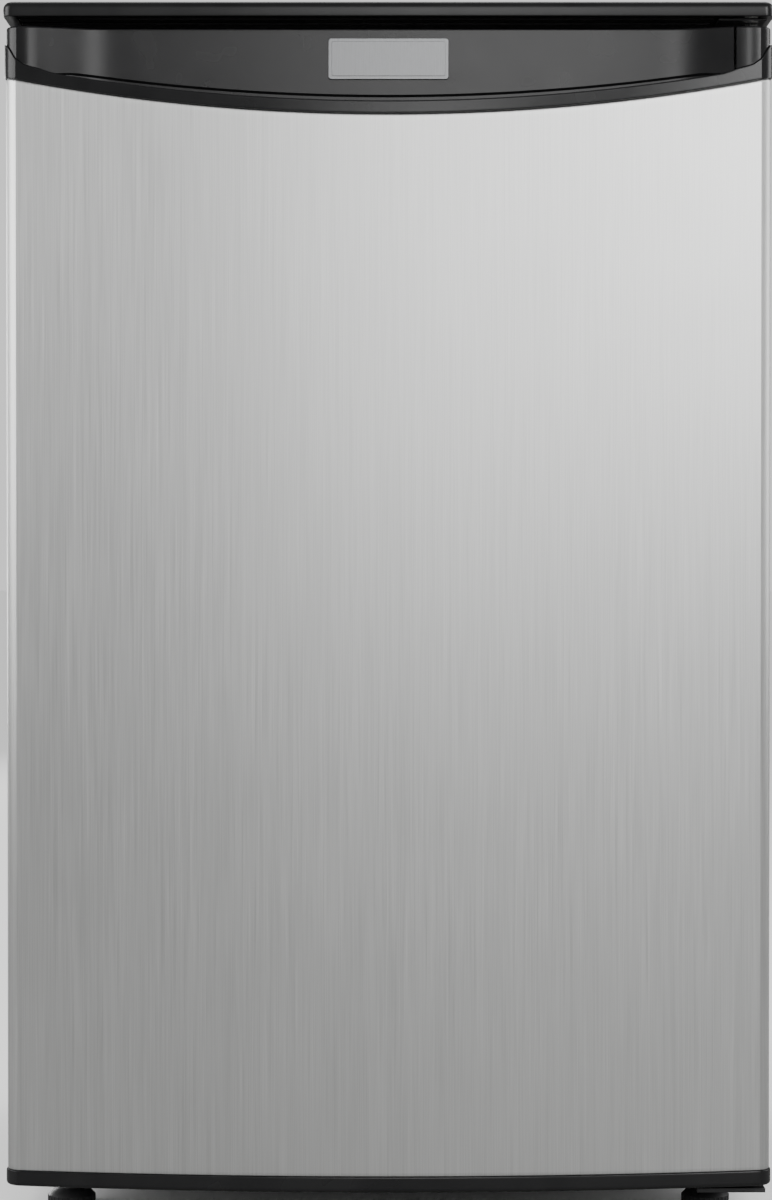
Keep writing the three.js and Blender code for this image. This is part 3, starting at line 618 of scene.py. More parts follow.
def bowFront(x):
    radius = doorSet["bowRadius"]
    return doorSet["front"] + radius - math.sqrt(radius * radius - x * x)


def steelEdge(x):
    radius = doorSet["archRadius"]
    return doorSet["steelTop"] + radius - math.sqrt(radius * radius - x * x)


def ease(t):
    t = min(max(t, 0), 1)
    return t * t * (3 - 2 * t)


# places along the door's outline from its left rear to its right rear: x, y and the inward direction
def doorOutline(inset, bowSteps=96):
    cornerSteps, sideSteps = 10, 5
    begin = math.radians(doorSet["cornerStart"])
    wide = (doorSet["cornerWide"] - inset) / (1 - math.sin(begin))
    deep = doorSet["cornerDeep"] / math.cos(begin)
    cornerFront = doorSet["bowEnd"] + inset
    sideFront = doorSet["bowEnd"] + doorSet["cornerDeep"] + inset
    right = []
    for step in range(cornerSteps + 1):
        t = begin + (math.pi / 2 - begin) * step / cornerSteps
        x = bowHalf + wide * (math.sin(t) - math.sin(begin))
        y = cornerFront + deep * (math.cos(begin) - math.cos(t))
        slope = Vector((-math.sin(t) / wide, math.cos(t) / deep)).normalized()
        right.append((x, y, slope.x, slope.y))
    for step in range(1, sideSteps + 1):
        y = sideFront + (doorSet["back"] - sideFront) * step / sideSteps
        right.append((doorSet["half"] - inset, y, -1, 0))
    left = [(-x, y, -nx, ny) for x, y, nx, ny in reversed(right)]
    bow = []
    for step in range(1, bowSteps):
        x = -bowHalf + 2 * bowHalf * step / bowSteps
        bow.append((x, bowFront(x) + inset, 0, 1))
    return left, bow, right


def creaseAtBowEnds(piece):
    makeActive(piece)
    points = piece.data.vertices
    for edge in piece.data.edges:
        a, b = (points[index].co / mm for index in edge.vertices)
        upright = abs(a.x - b.x) < 0.4 and abs(a.y - b.y) < 0.8 and abs(a.z - b.z) > 0.5
        if upright and abs(abs(a.x) - bowHalf) < 0.8 and a.y < -246:
            edge.use_edge_sharp = True


# the pole that the top and back of a section run to
def innerPlace(x):
    return min(max(x, -250), 250), doorSet["back"]


def sectionAt(spot, rows, inside):
    x, y, nx, ny = spot
    px, py = innerPlace(x)
    section = [(x + nx * u, y + ny * u, z) for u, z in rows]
    section += [(px, py, z) for z in inside]
    return section


# the bowed steel sheet with its arched top edge
panelSet = {"inset": 0.9, "thick": 0.7, "low": 42.3, "hem": 2.4}


def addDoorPanel():
    left, bow, right = doorOutline(panelSet["inset"])
    thick, hem, low = panelSet["thick"], panelSet["hem"], panelSet["low"]
    sections = []
    for x, y, nx, ny in left + bow + right:
        top = steelEdge(x) - 0.3
        rows = [
            (thick, top), (0.35, top - 0.5), (0.13, top - hem / 2), (0, top - hem), (0, top - 5),
            (0, (top + low) / 2), (0, low + 3), (0, low + 0.8), (0.12, low + 0.3),
            (0.4, low), (thick, low), (thick, (top + low) / 2),
        ]
        sections.append([(x + nx * u, y + ny * u, z) for u, z in rows])
    panel = loft(sections)
    creaseAtBowEnds(panel)
    settle(panel, "door_steel_panel", "door", "brushedSteel", "door_front_panel")


addDoorPanel()

# the gloss cap: a lip in front, and a finger pocket with ramps at its ends
capSet = {
    "lip": 8.7, "lipWall": 3, "lipRound": 1.2, "pocket": -238, "rampStart": 184, "rampRise": 36,
    "rampSlope": 0.25, "rampFall": 236, "rampFallRun": 14, "rampEnd": 252,
    "troughFloor": 744.5, "step": 1.3, "split": 235.1,
    "coverStart": 236.9, "topRound": 1.6, "cove": 2.1,
}
# rise of the pocket's lower edge towards the door's ends: x against height
mouthRise = (
    (228, 790.3), (238, 794.0), (246, 795.6), (251, 797.6), (255, 801.5),
    (258, 806.5), (260.5, 810), (262.3, 811.5),
)


def mouthHeight(x, y):
    x = abs(x)
    if x <= mouthRise[0][0]:
        return steelEdge(x) + capSet["lip"]
    for (x0, z0), (x1, z1) in zip(mouthRise, mouthRise[1:]):
        if x <= x1:
            z = z0 + (z1 - z0) * (x - x0) / (x1 - x0)
            break
    else:
        z = mouthRise[-1][1]
    if x > 262:
        z += 3 * ease((y + 237) / 20)
    return z


# how far the pocket's back has come forward at each millimetre towards its ends
def makeRamp():
    drops, drop = [], 0.0
    for x in range(capSet["rampStart"], capSet["rampEnd"] + 1):
        drops.append(drop)
        rise = ease((x - capSet["rampStart"]) / capSet["rampRise"])
        fall = 1 - 0.8 * ease((x - capSet["rampFall"]) / capSet["rampFallRun"])
        drop += capSet["rampSlope"] * rise * fall
    return drops


rampDrops = makeRamp()


def pocketDepth(x, y):
    side = abs(x)
    if side > bowHalf:
        return max(capSet["step"] * (1 - ease((y + 236) / 22)), 0.02)
    place = min(max(side - capSet["rampStart"], 0), len(rampDrops) - 1.001)
    step = int(place)
    drop = rampDrops[step] + (rampDrops[step + 1] - rampDrops[step]) * (place - step)
    return max(capSet["pocket"] - drop - y, capSet["step"])


def arc(centreU, centreZ, radius, start, end, steps=4):
    points = []
    for step in range(steps + 1):
        angle = math.radians(start + (end - start) * step / steps)
        points.append((centreU + radius * math.cos(angle), centreZ + radius * math.sin(angle)))
    return points


# front of the lip, from the hidden skirt up to its rounded top
def lipRows(x, y, depth):
    low, high = steelEdge(x), mouthHeight(x, y)
    wall = min(capSet["lipWall"], depth * 0.5)
    curve = min(capSet["lipRound"], wall * 0.48)
    rows = [
        (2.0, low - 8), (2.0, low), (0.5, low), (0.15, low + 0.12), (0, low + 0.5),
        (0, low + 1.6), (0, (low + high) / 2), (0, high - curve - 0.8),
    ]
    return rows + arc(curve, high - curve, curve, 180, 90), high, wall, curve


def pocketRows(x, y, depth):
    rows, high, wall, curve = lipRows(x, y, depth)
    fade = 1 - ease((abs(x) - 212) / 24)
    floor = high - curve - 0.4 - (high - curve - 0.4 - capSet["troughFloor"]) * fade
    rows += arc(wall - curve, high - curve, curve, 90, 0)
    behind = depth + capSet["cove"] * fade
    coveTop = high + 0.35 + fade * (0.7 + 7.3 * depth / 32.5)
    top, curve = doorSet["top"], capSet["topRound"]
    rows += [
        (wall + 0.01, (floor + high) / 2), (wall + 0.02, floor), (behind, floor),
        (behind, (floor + coveTop) / 2), (behind, coveTop - 0.3 - fade),
        (depth + 0.35, coveTop - 0.15), (depth, coveTop + 0.2), (depth, coveTop + 1.2),
        (depth, top - curve - 1.0),
    ]
    rows += arc(depth + curve, top - curve, curve, 180, 90)
    rows.append((depth + curve + 1.2, top))
    return rows


def addTopCap():
    left, bow, right = doorOutline(0)
    split = capSet["split"]
    spots = left + [spot for spot in bow if spot[0] < split - 1]
    spots.append((split, bowFront(split), 0, 1))
    sections = []
    for spot in spots:
        x, y = spot[:2]
        rows = pocketRows(x, y, pocketDepth(x, y))
        sections.append(sectionAt(spot, rows, (doorSet["top"], steelEdge(x) - 8)))
    cap = loft(sections)
    creaseAtBowEnds(cap)
    settle(cap, "top_cap_moulding", "door", "glossBlack", "door_top_cap")
    # the shoulder under the hinge-side cover
    spots = [(split, bowFront(split), 0, 1)]
    spots += [spot for spot in bow if spot[0] > split + 1] + right
    sections = []
    for spot in spots:
        x, y = spot[:2]
        rows, high, wall = lipRows(x, y, pocketDepth(x, y))[:3]
        rows += [(wall, high - 0.02), (wall + 1.5, high - 0.05)]
        sections.append(sectionAt(spot, rows, (high - 0.05, steelEdge(x) - 8)))
    shoulder = loft(sections)
    creaseAtBowEnds(shoulder)
    settle(shoulder, "top_cap_shoulder", "door", "glossBlack")


def addHingeCover():
    bow, right = doorOutline(0)[1:]
    start = capSet["coverStart"]
    spots = [(start, bowFront(start), 0, 1)]
    spots += [spot for spot in bow if spot[0] > start + 1] + right
    top, curve = doorSet["top"], capSet["topRound"]
    sections = []
    for spot in spots:
        x, y = spot[:2]
        depth = pocketDepth(x, y)
        low = mouthHeight(x, y) + 0.3
        rows = [(depth + 3, low), (depth + 0.4, low), (depth, low + 0.5), (depth, low + 1.3)]
        rows.append((depth, top - curve - 1.0))
        rows += arc(depth + curve, top - curve, curve, 180, 90)
        rows.append((depth + curve + 1.2, top))
        sections.append(sectionAt(spot, rows, (top, low)))
    cover = loft(sections)
    creaseAtBowEnds(cover)
    cutAway(cover, bar((*hingePin, 790), (*hingePin, 830), pinHole))
    collar = turned(
        ((pinHole, 0), (5.6, 0), (5.6, 0.5), (5.1, 0.9), (3.9, 0.9), (pinHole, 0.6), (pinHole, 0)),
        (*hingePin, 822.9),
    )
    cover = joinPieces([cover, collar])
    settle(cover, "hinge_cover_moulding", "door", "glossBlack", "hinge_end_cover")


addTopCap()
addHingeCover()


def addBottomCap():
    left, bow, right = doorOutline(0)
    high, low = doorSet["steelBottom"], doorSet["bottom"]
    curve = 2.6
    sections = []
    for spot in left + bow + right:
        rows = [(2.0, high + 8), (2.0, high), (0.5, high), (0.15, high - 0.12), (0, high - 0.5)]
        rows += [(0, high - 1.6), (0, low + curve + 1)]
        rows += arc(curve, low + curve, curve, 180, 270)
        rows.append((curve + 1, low))
        sections.append(sectionAt(spot, rows, (low, high + 8)))
    cap = loft(sections)
    creaseAtBowEnds(cap)
    cutAway(cap, bar((*hingePin, 20), (*hingePin, 44), pinHole))
    settle(cap, "bottom_cap_moulding", "door", "glossBlack", "door_bottom_cap")


addBottomCap()

# the badge, left blank
badgeSet = {"half": 41, "low": 788, "high": 816, "front": -239.9, "back": -238.2, "step": 0.45}


def roundedOutline(half, low, high, radius, steps=5):
    points = []
    corners = (
        (half - radius, low + radius, 270), (half - radius, high - radius, 0),
        (radius - half, high - radius, 90), (radius - half, low + radius, 180),
    )
    for a, b, start in corners:
        points += arc(a, b, radius, start, start + 90, steps)
    return points


def addBadge():
    half, low, high = badgeSet["half"], badgeSet["low"], badgeSet["high"]
    step, margin = badgeSet["step"], 2.2
    front = badgeSet["front"]
    base = slab(roundedOutline(half, low, high, 2), "Y", front + step, badgeSet["back"], 0.35)
    field = roundedOutline(half - margin, low + margin, high - margin, 1.2)
    face = slab(field, "Y", front, front + step + 0.3, 0.25)
    settle(joinPieces([base, face]), "badge_blank", "door", "badgeMetal", "badge_plate")


addBadge()
print("door front done")

# the worktop: a slab over side skirts, with two ribs under its front
worktopSet = {
    "half": 262.75, "front": -249, "rear": 262, "low": 829.5, "under": 831, "high": 840,
    "rim": 6, "hollowHalf": 254, "hollowRear": 240, "corner": 7, "topRound": 5.4,
    "underRound": 0.6, "skirtInner": 260.6, "ribs": (-233, -213), "ribEnds": (-253, 223),
}


def addWorktop():
    half, low, high = worktopSet["half"], worktopSet["low"], worktopSet["high"]
    top = block((-half, worktopSet["front"], low), (half, worktopSet["rear"], high))
    bevelWhere(top, pickEdges, lambda a, b: abs(a.z - b.z) > 5 and a.y < 0, worktopSet["corner"], 8)
    bevelWhere(top, pickEdges, lambda a, b: abs(a.z - b.z) > 5 and a.y > 0, 2, 4)
    bevelWhere(top, pickFaces, lambda centre, normal: normal.z > 0.9, worktopSet["topRound"], 6)
    bevelWhere(top, pickFaces, lambda centre, normal: normal.z < -0.9, worktopSet["underRound"], 3)
    front, under = worktopSet["front"], worktopSet["under"]
    reach, rear = worktopSet["hollowHalf"], worktopSet["hollowRear"]
    cutAway(top, block((-reach, front + worktopSet["rim"], low - 2), (reach, rear, under)))
    smoothBy(top, 40)
    parts = [top]
    for side in (-1, 1):
        inner, outer = side * worktopSet["skirtInner"], side * (half - 0.15)
        corner = (min(inner, outer), -190, 818)
        parts.append(block(corner, (max(inner, outer), 232, 835), 0.7))
    left, right = worktopSet["ribEnds"]
    for y in worktopSet["ribs"]:
        parts.append(block((left, y, under - 1.3), (right, y + 1.6, under + 0.5), 0.5))
    settle(joinPieces(parts), "worktop_moulding", "cabinet", "worktopBlack", "worktop")


addWorktop()
print("worktop done")

# sheet metal round the cabinet
skinSet = {
    "sheetRound": 0.3, "screwRadius": 4.2, "screwHigh": 2.0,
    "sheets": (
        ("side_panel_left", "side_sheet_left", "paintedBlack"),
        ("side_panel_right", "side_sheet_right", "paintedBlack"),
        ("top_front_rail", "front_rail_upper", "paintedBlack"),
        ("bottom_front_rail", "front_rail_lower", "paintedBlack"),
        ("rear_step_panel", "niche_sheet", "galvanised"),
        ("base_pan", "base_sheet", "galvanised"),
    ),
    "backScrews": ((-246, 236), (246, 236), (-250, 520), (250, 520), (-250, 818), (250, 818), (0, 818)),
}


# a cross-slotted pan screw whose head faces along +Y
def panScrew(x, y, z, radius, high):
    profile = ((0, high), (radius * 0.45, high), (radius * 0.85, high * 0.7), (radius, high * 0.2))
    head = turned(profile + ((radius, -0.6), (0, -0.6)), (x, y, z), "Y", 20)
    for wide, tall in ((radius * 1.1, 0.9), (0.9, radius * 1.1)):
        low = (x - wide / 2, y + high - 0.7, z - tall / 2)
        cutAway(head, block(low, (x + wide / 2, y + high + 1, z + tall / 2)))
    return head


def copyOf(node, name, body, finish, soft, segments=2):
    piece = softCopy(node, soft, segments)
    return settle(piece, name, body, finish, node)


def addCabinetSkin():
    soft = skinSet["sheetRound"]
    for node, name, finish in skinSet["sheets"]:
        copyOf(node, name, "cabinet", finish, soft)
    back = block((-259.5, 232.3, 214.5), (259.5, 233.1, 830.5))
    pickFaces(back, lambda centre, normal: normal.y > 0.9)
    bpy.ops.mesh.inset(thickness=20 * mm, depth=0)
    bpy.ops.mesh.inset(thickness=2 * mm, depth=1.1 * mm)
    bpy.ops.mesh.inset(thickness=7 * mm, depth=0)
    bpy.ops.mesh.inset(thickness=2 * mm, depth=-1.1 * mm)
    leaveEdit()
    soften(back, 0.35, 2, 20)
    settle(back, "back_sheet_pressed", "cabinet", "galvanised", "back_panel")
    first = panScrew(0, 233.1, 0, skinSet["screwRadius"], skinSet["screwHigh"])
    copies = [duplicate(first, (x, 0, z)) for x, z in skinSet["backScrews"]]
    bpy.data.objects.remove(first, do_unlink=True)
    settle(joinPieces(copies), "back_panel_screws", "cabinet", "pinSteel")


addCabinetSkin()
print("cabinet skin done")

# the moulded room inside, with ledges for the shelves
roomSet = {
    "half": 222, "floor": 75, "ceiling": 790, "rear": 190, "stepFront": 60, "stepTop": 245,
    "mouth": -190, "corner": 12, "flangeX": 233.4, "flangeLow": 69.2,
    "flangeHigh": 795.8, "skin": 1.5, "ledges": (610, 520, 430, 340, 245.3), "ledgeTip": 212,
}


def addRoom():
    half, mouth = roomSet["half"], roomSet["mouth"]
    low, high, rear = roomSet["floor"], roomSet["ceiling"], roomSet["rear"]
    front, top = roomSet["stepFront"], roomSet["stepTop"]
    side = [(mouth, low), (front, low), (front, top), (rear, top), (rear, high), (mouth, high)]
    room = slab(side, "X", -half, half)
    pickFaces(room, lambda centre, normal: normal.y < -0.9 and centre.y < mouth + 1)
    bpy.ops.mesh.delete(type="FACE")
    leaveEdit()
    inside = mouth + 0.1
    bevelWhere(room, pickEdges, lambda a, b: a.y > inside or b.y > inside, roomSet["corner"], 5)
    pickEdges(room, lambda a, b: a.y < inside and b.y < inside)
    bpy.ops.mesh.extrude_edges_move()
    middle = (0, mouth * mm, (low + high) / 2 * mm)
    growX = roomSet["flangeX"] / half
    growZ = (roomSet["flangeHigh"] - roomSet["flangeLow"]) / (high - low)
    bpy.ops.transform.resize(value=(growX, 1, growZ), center_override=middle)
    leaveEdit()
    thicken(room, roomSet["skin"], 1)
    smoothBy(room, 40)
    parts = [soften(room, 0.9, 3, 50)]
    for level in roomSet["ledges"]:
        back = front + 0.5 if level < 300 else rear + 0.5
        for sign in (-1, 1):
            tip, wall = sign * roomSet["ledgeTip"], sign * (half + 0.6)
            corner = (min(tip, wall), -98, level - 6.3)
            parts.append(block(corner, (max(tip, wall), back, level - 0.3), 1.6, 3))
    settle(joinPieces(parts), "room_moulding", "cabinet", "linerWhite", "cabinet_liner")


addRoom()

# the cold plate with its raised channel
plateSet = {
    "half": 190, "front": 187.5, "back": 189.6, "low": 445, "high": 762,
    "channelY": 187.2, "flat": 0.42, "reach": 158, "rows": 5, "pitch": 56, "start": 490,
}


def addColdPlate():
    half, low, high, centre = (plateSet[key] for key in ("half", "low", "high", "channelY"))
    plate = block((-half, plateSet["front"], low), (half, plateSet["back"], high), 0.6)
    path, reach, pitch = [], plateSet["reach"], plateSet["pitch"]
    for row in range(plateSet["rows"]):
        z = plateSet["start"] + row * pitch
        side = 1 if row % 2 else -1
        path.append((side * reach, centre, z))
        if row == plateSet["rows"] - 1:
            path.append((-side * reach, centre, z))
            break
        for step in range(9):
            angle = math.pi * step / 8 - math.pi / 2
            x = -side * (reach + pitch / 2 * math.cos(angle) - pitch / 2)
            path.append((x, centre, z + pitch / 2 + pitch / 2 * math.sin(angle)))
    channel = tube(path, 4.2, 4, False)
    makeActive(channel)
    bpy.ops.object.mode_set(mode="EDIT")
    bpy.ops.mesh.select_all(action="SELECT")
    bpy.ops.transform.resize(value=(1, plateSet["flat"], 1), center_override=(0, 187.6 * mm, 0))
    leaveEdit()
    pressed = joinPieces([plate, channel])
    settle(pressed, "cold_plate_channelled", "cabinet", "coldPlate", "evaporator_plate")


addColdPlate()

# the control box: dial, lamp and door switch
controlSet = {
    "front": -140, "high": 789.7,
    "knobX": 105, "knobZ": 763, "knobRadius": 16, "grips": 24, "ticks": 7,
    "tickRing": 17.6, "lampX": 135, "lampZ": 766, "plungerX": 165, "plungerZ": 778,
    "threadPitch": 3.1,
    "bulb": (
        (0, -46), (7, -46), (7.4, -43), (8.4, -40), (10.3, -34), (11, -27), (9.6, -19),
        (6, -13.4), (3, -11.7), (0, -11.4),
    ),
    "plunger": (
        (0, -164.4), (2.2, -164.4), (3.6, -163.6), (4, -162), (4, -131), (6, -131), (6, -128),
        (0, -128),
    ),
}


def addControls():
    x, z, front = controlSet["knobX"], controlSet["knobZ"], controlSet["front"]
    parts = [softCopy("control_housing", 1.0, 3)]
    for tick in range(controlSet["ticks"]):
        angle = math.radians(40 + 280 * tick / (controlSet["ticks"] - 1))
        long = 1.4 + 0.35 * tick
        out = Vector((-math.sin(angle), 0, -math.cos(angle)))
        centre = Vector((x, front - 0.15, z))
        start = centre + out * controlSet["tickRing"]
        end = centre + out * (controlSet["tickRing"] + long)
        if end.z < controlSet["high"] - 1:
            parts.append(bar(start, end, 0.45, 8))
    for slot in range(6):
        parts.append(block((78 + slot * 9, -118, 741.4), (82 + slot * 9, -78, 742.4), 0.4))
    settle(joinPieces(parts), "control_box", "cabinet", "linerWhite", "control_housing")
    radius = controlSet["knobRadius"]
    profile = (
        (0, 12), (3, 12), (3, -1), (radius, -1), (radius, -2.2), (radius - 0.9, -12.6),
        (radius - 2.4, -14), (0, -14),
    )
    body = turned(profile, (x, front, z), "Y", 48, 0.4)
    parts = [body]
    for grip in range(controlSet["grips"]):
        angle = math.tau * grip / controlSet["grips"]
        cx, cz = math.cos(angle), math.sin(angle)
        start = (x + cx * (radius - 0.3), front - 2.4, z + cz * (radius - 0.3))
        end = (x + cx * (radius - 1.2), front - 12.4, z + cz * (radius - 1.2))
        parts.append(bar(start, end, 0.8, 10))
    parts.append(block((x - 2.2, front - 18, z - 12.8), (x + 2.2, front - 12, z + 12.8), 1.3, 3))
    settle(joinPieces(parts), "dial_knob", "thermostat_dial", "linerWhite", "thermostat_knob")
    mark = block((x - 0.7, front - 18.25, z + 3), (x + 0.7, front - 17.6, z + 11.5), 0.2)
    settle(mark, "dial_pointer", "thermostat_dial", "satinBlack")
    lens = [softCopy("lamp_lens", 1.0, 3)]
    rib = block((74, -54, 741.3), (196, -52.2, 742.5), 0.5)
    lens.append(repeat(rib, 12, (0, 6, 0)))
    settle(joinPieces(lens), "lens_ribbed", "cabinet", "clearPlastic", "lamp_lens")
    lampX, lampZ = controlSet["lampX"], controlSet["lampZ"]
    bulb = turned(controlSet["bulb"], (lampX, 0, lampZ), "Y", 32)
    settle(bulb, "bulb_envelope", "cabinet", "bulbGlass", "lamp_bulb")
    threads = [(0, -66)]
    for turn in range(6):
        rise = turn * controlSet["threadPitch"]
        threads += [(6.2, -65 + rise), (6.9, -64.2 + rise), (6.9, -63.6 + rise), (6.2, -62.8 + rise)]
    threads += [(6.6, -46.2), (0, -46.2)]
    settle(turned(threads, (lampX, 0, lampZ), "Y", 24), "bulb_screw_cap", "cabinet", "pinSteel")
    copyOf("lamp_socket", "bulb_socket", "cabinet", "satinBlack", 0.6)
    px, pz = controlSet["plungerX"], controlSet["plungerZ"]
    stem = turned(controlSet["plunger"], (px, 0, pz), "Y", 32, 0.3)
    settle(stem, "switch_button", "light_switch", "linerWhite", "light_switch_plunger")


addControls()
print("controls done")

# shelves with their front trims, and the drawer under them
shelfSet = {"edge": 0.8, "trimEdge": 1.0}
for level in ("upper", "lower"):
    pane, nosing = "shelf_pane_" + level, "shelf_nosing_" + level
    copyOf("shelf_glass_" + level, pane, "cabinet", "shelfGlass", shelfSet["edge"], 3)
    copyOf("shelf_trim_" + level, nosing, "cabinet", "linerWhite", shelfSet["trimEdge"], 3)
copyOf("crisper_cover_glass", "crisper_pane", "cabinet", "shelfGlass", shelfSet["edge"], 3)
copyOf("crisper_cover_trim", "crisper_nosing", "cabinet", "linerWhite", shelfSet["trimEdge"], 3)


# an open moulded tray: rounded upright corners, rounded foot, even wall and a soft rim
def tray(low, high, wall, corner, foot, rim=0.7):
    piece = block(low, high)
    bevelWhere(piece, pickEdges, lambda a, b: abs(a.z - b.z) > 1, corner, 6)
    bevelWhere(piece, pickFaces, lambda centre, normal: normal.z < -0.9, foot, 4)
    pickFaces(piece, lambda centre, normal: normal.z > 0.9 and centre.z > high[2] - 0.5)
    bpy.ops.mesh.delete(type="FACE")
    leaveEdit()
    thicken(piece, wall, -1)
    return soften(piece, rim, 2, 60)


def addDrawer():
    body = tray((-206, -98, 78), (206, 52, 236), 2.5, 12, 8)
    grip = block((-70, -105, 222), (70, -97.5, 236), 2.2, 3)
    cutAway(grip, block((-66, -103.2, 218), (66, -97.9, 232.4), 1.2))
    parts = [body, grip]
    for sign in (-1, 1):
        wall = sign * 206.4
        parts.append(block((min(wall, sign * 204), -80, 229.5), (max(wall, sign * 204), 46, 233), 0.6))
    settle(joinPieces(parts), "crisper_tray", "crisper", "clearPlastic", "crisper_drawer")


addDrawer()
print("shelves and drawer done")

# inside of the door: lining with a raised ring, and three racks
doorInsideSet = {
    "plateHalf": 260.3, "plateLow": 33, "plateHigh": 821.5, "back": -203.6, "skin": 1.5,
    "ringHalf": 213, "ringLow": 82, "ringHigh": 784, "ringWall": 8, "ringDeep": 38.6,
    "rackHalf": 204.5, "rackBack": -203.2, "rackFront": -112, "railHalf": 203, "railY": -110.9,
    "racks": {"top": (655, 708), "middle": (425, 487), "bottom": (95, 175)},
}


def addDoorInside():
    half, back = doorInsideSet["plateHalf"], doorInsideSet["back"]
    plate = block(
        (-half, back - doorInsideSet["skin"], doorInsideSet["plateLow"]),
        (half, back, doorInsideSet["plateHigh"]),
    )
    bevelWhere(plate, pickEdges, lambda a, b: abs(a.y - b.y) > 1, 5, 5)
    soften(plate, 0.5)
    ringHalf, wall = doorInsideSet["ringHalf"], doorInsideSet["ringWall"]
    ring = block(
        (-ringHalf, back - 0.5, doorInsideSet["ringLow"]),
        (ringHalf, back + doorInsideSet["ringDeep"], doorInsideSet["ringHigh"]),
    )
    bevelWhere(ring, pickEdges, lambda a, b: abs(a.y - b.y) > 1, 16, 6)
    pickFaces(ring, lambda centre, normal: normal.y > 0.9)
    bpy.ops.mesh.inset(thickness=wall * mm, depth=0)
    bpy.ops.mesh.extrude_region_move()
    bpy.ops.transform.translate(value=(0, (0.4 - doorInsideSet["ringDeep"]) * mm, 0))
    leaveEdit()
    smoothBy(ring, 50)
    soften(ring, 2.8, 4, 60)
    settle(joinPieces([plate, ring]), "door_lining", "door", "linerWhite", "door_liner")
    reach, rackBack, rackFront = (doorInsideSet[key] for key in ("rackHalf", "rackBack", "rackFront"))
    end, railY = doorInsideSet["railHalf"], doorInsideSet["railY"]
    for level, (low, high) in doorInsideSet["racks"].items():
        rack = tray((-reach, rackBack, low), (reach, rackFront, high), 2.5, 9, 6)
        rail = tube([(x, railY, high - 6) for x in (-end, 0, end)], 1.6, 4, False)
        name = "door_rack_" + level
        settle(joinPieces([rack, rail]), "rack_tray_" + level, "door", "clearPlastic", name)


addDoorInside()

# the magnetic seal, as one section led round the door
sealSet = {"half": 244.3, "low": 59.2, "high": 804.3, "corner": 7, "steps": 5}
sealSection = (
    (-6.4, -203.2), (6.4, -203.2), (6.9, -201.6), (4.2, -199.9), (6.6, -198.3), (7.1, -196.6),
    (7.1, -192.4), (6.0, -190.7), (-6.0, -190.7), (-7.1, -192.4), (-7.1, -196.6), (-6.6, -198.3),
    (-4.2, -199.9), (-6.9, -201.6),
)


def addSeal():
    half, low, high, corner = (sealSet[key] for key in ("half", "low", "high", "corner"))
    sections = []
    corners = (
        (half - corner, low + corner, 270), (half - corner, high - corner, 0),
        (corner - half, high - corner, 90), (corner - half, low + corner, 180),
    )
    for a, b, start in corners:
        for step in range(sealSet["steps"] + 1):
            angle = math.radians(start + 90 * step / sealSet["steps"])
            cx, cz = math.cos(angle), math.sin(angle)
            reach = [(corner + 0.2 + u, y) for u, y in sealSection]
            sections.append([(a + cx * r, y, b + cz * r) for r, y in reach])
    count = len(sealSection)
    points = [point for section in sections for point in section]
    faces = []
    for row in range(len(sections)):
        other = (row + 1) % len(sections)
        for index in range(count):
            after = (index + 1) % count
            a, b = row * count, other * count
            faces.append((a + index, a + after, b + after, b + index))
    seal = outward(meshOf(points, faces))
    smoothBy(seal, 40)
    settle(seal, "seal_bellows", "door", "rubber", "door_gasket")


addSeal()
print("door inside done")

# hinges and feet
footSet = {"x": 226, "y": -158, "rearX": 225, "rearY": 232, "knurls": 30}


def hexBolt(x, y, low, high, across=4.6):
    head = bar((x, y, low), (x, y, high), across, 6)
    return soften(head, 0.5, 2, 25)


def addHinges():
    copyOf("top_hinge_bracket", "hinge_plate_upper", "cabinet", "paintedBlack", 0.45)
    bracket = softCopy("bottom_hinge_bracket", 0.4)
    settle(bracket, "hinge_plate_lower", "cabinet", "paintedBlack", "bottom_hinge_bracket")
    bolts = [hexBolt(x, y, 22.6, 25.3) for x, y in ((236, -144), (250, -144), (247, -166))]
    settle(joinPieces(bolts), "hinge_bolts_lower", "cabinet", "pinSteel")
    sleeve = (
        (3.3, 804.5), (3.3, 824.1), (5.2, 824.1), (5.2, 827.6), (4.8, 828.2), (0, 828.2),
        (0, 804), (2.6, 804), (3.3, 804.5),
    )
    pin = turned(sleeve, (*hingePin, 0), "Z", 32)
    settle(pin, "hinge_pin_bright", "cabinet", "pinSteel", "top_hinge_pin")


def addFeet():
    for side, sign in (("left", -1), ("right", 1)):
        thread = [(8, 21), (5.2, 21.4)]
        for turn in range(9):
            thread += [(5.2, 22.2 + turn * 1.5), (4.5, 22.9 + turn * 1.5)]
        profile = [(0, 0), (14.6, 0), (16.4, 1.2), (16.6, 7.6), (14.2, 10.4), (8.4, 12.6), (8, 13.4)]
        profile += thread + [(4.6, 36), (0, 36)]
        x, y = sign * footSet["x"], footSet["y"]
        parts = [turned(profile, (x, y, 0), "Z", 40)]
        for knurl in range(footSet["knurls"]):
            angle = math.tau * knurl / footSet["knurls"]
            px, py = x + 16.3 * math.cos(angle), y + 16.3 * math.sin(angle)
            parts.append(bar((px, py, 1.6), (px, py, 7.6), 0.75, 8))
        name = "levelling_foot_" + side
        settle(joinPieces(parts), "screw_foot_" + side, "foot_" + side, "satinBlack", name)
        profile = ((0, 0), (12.6, 0), (14.6, 1.4), (15, 4), (14.2, 24.6), (13.4, 25.3), (0, 25.3))
        pad = turned(profile, (sign * footSet["rearX"], footSet["rearY"], 0), "Z", 40, 0.4)
        settle(pad, "rubber_foot_" + side, "cabinet", "rubber", "rear_foot_" + side)


addHinges()
addFeet()
print("hinges and feet done")

# the condenser on the back: one bent tube between two layers of wires
coilSet = {
    "y": 250, "half": 205, "top": 780, "pitch": 44, "passes": 11, "radius": 2.5,
    "wires": 51, "wireStep": 7.6, "wireRadius": 0.75, "wireLow": 333, "wireHigh": 787,
}


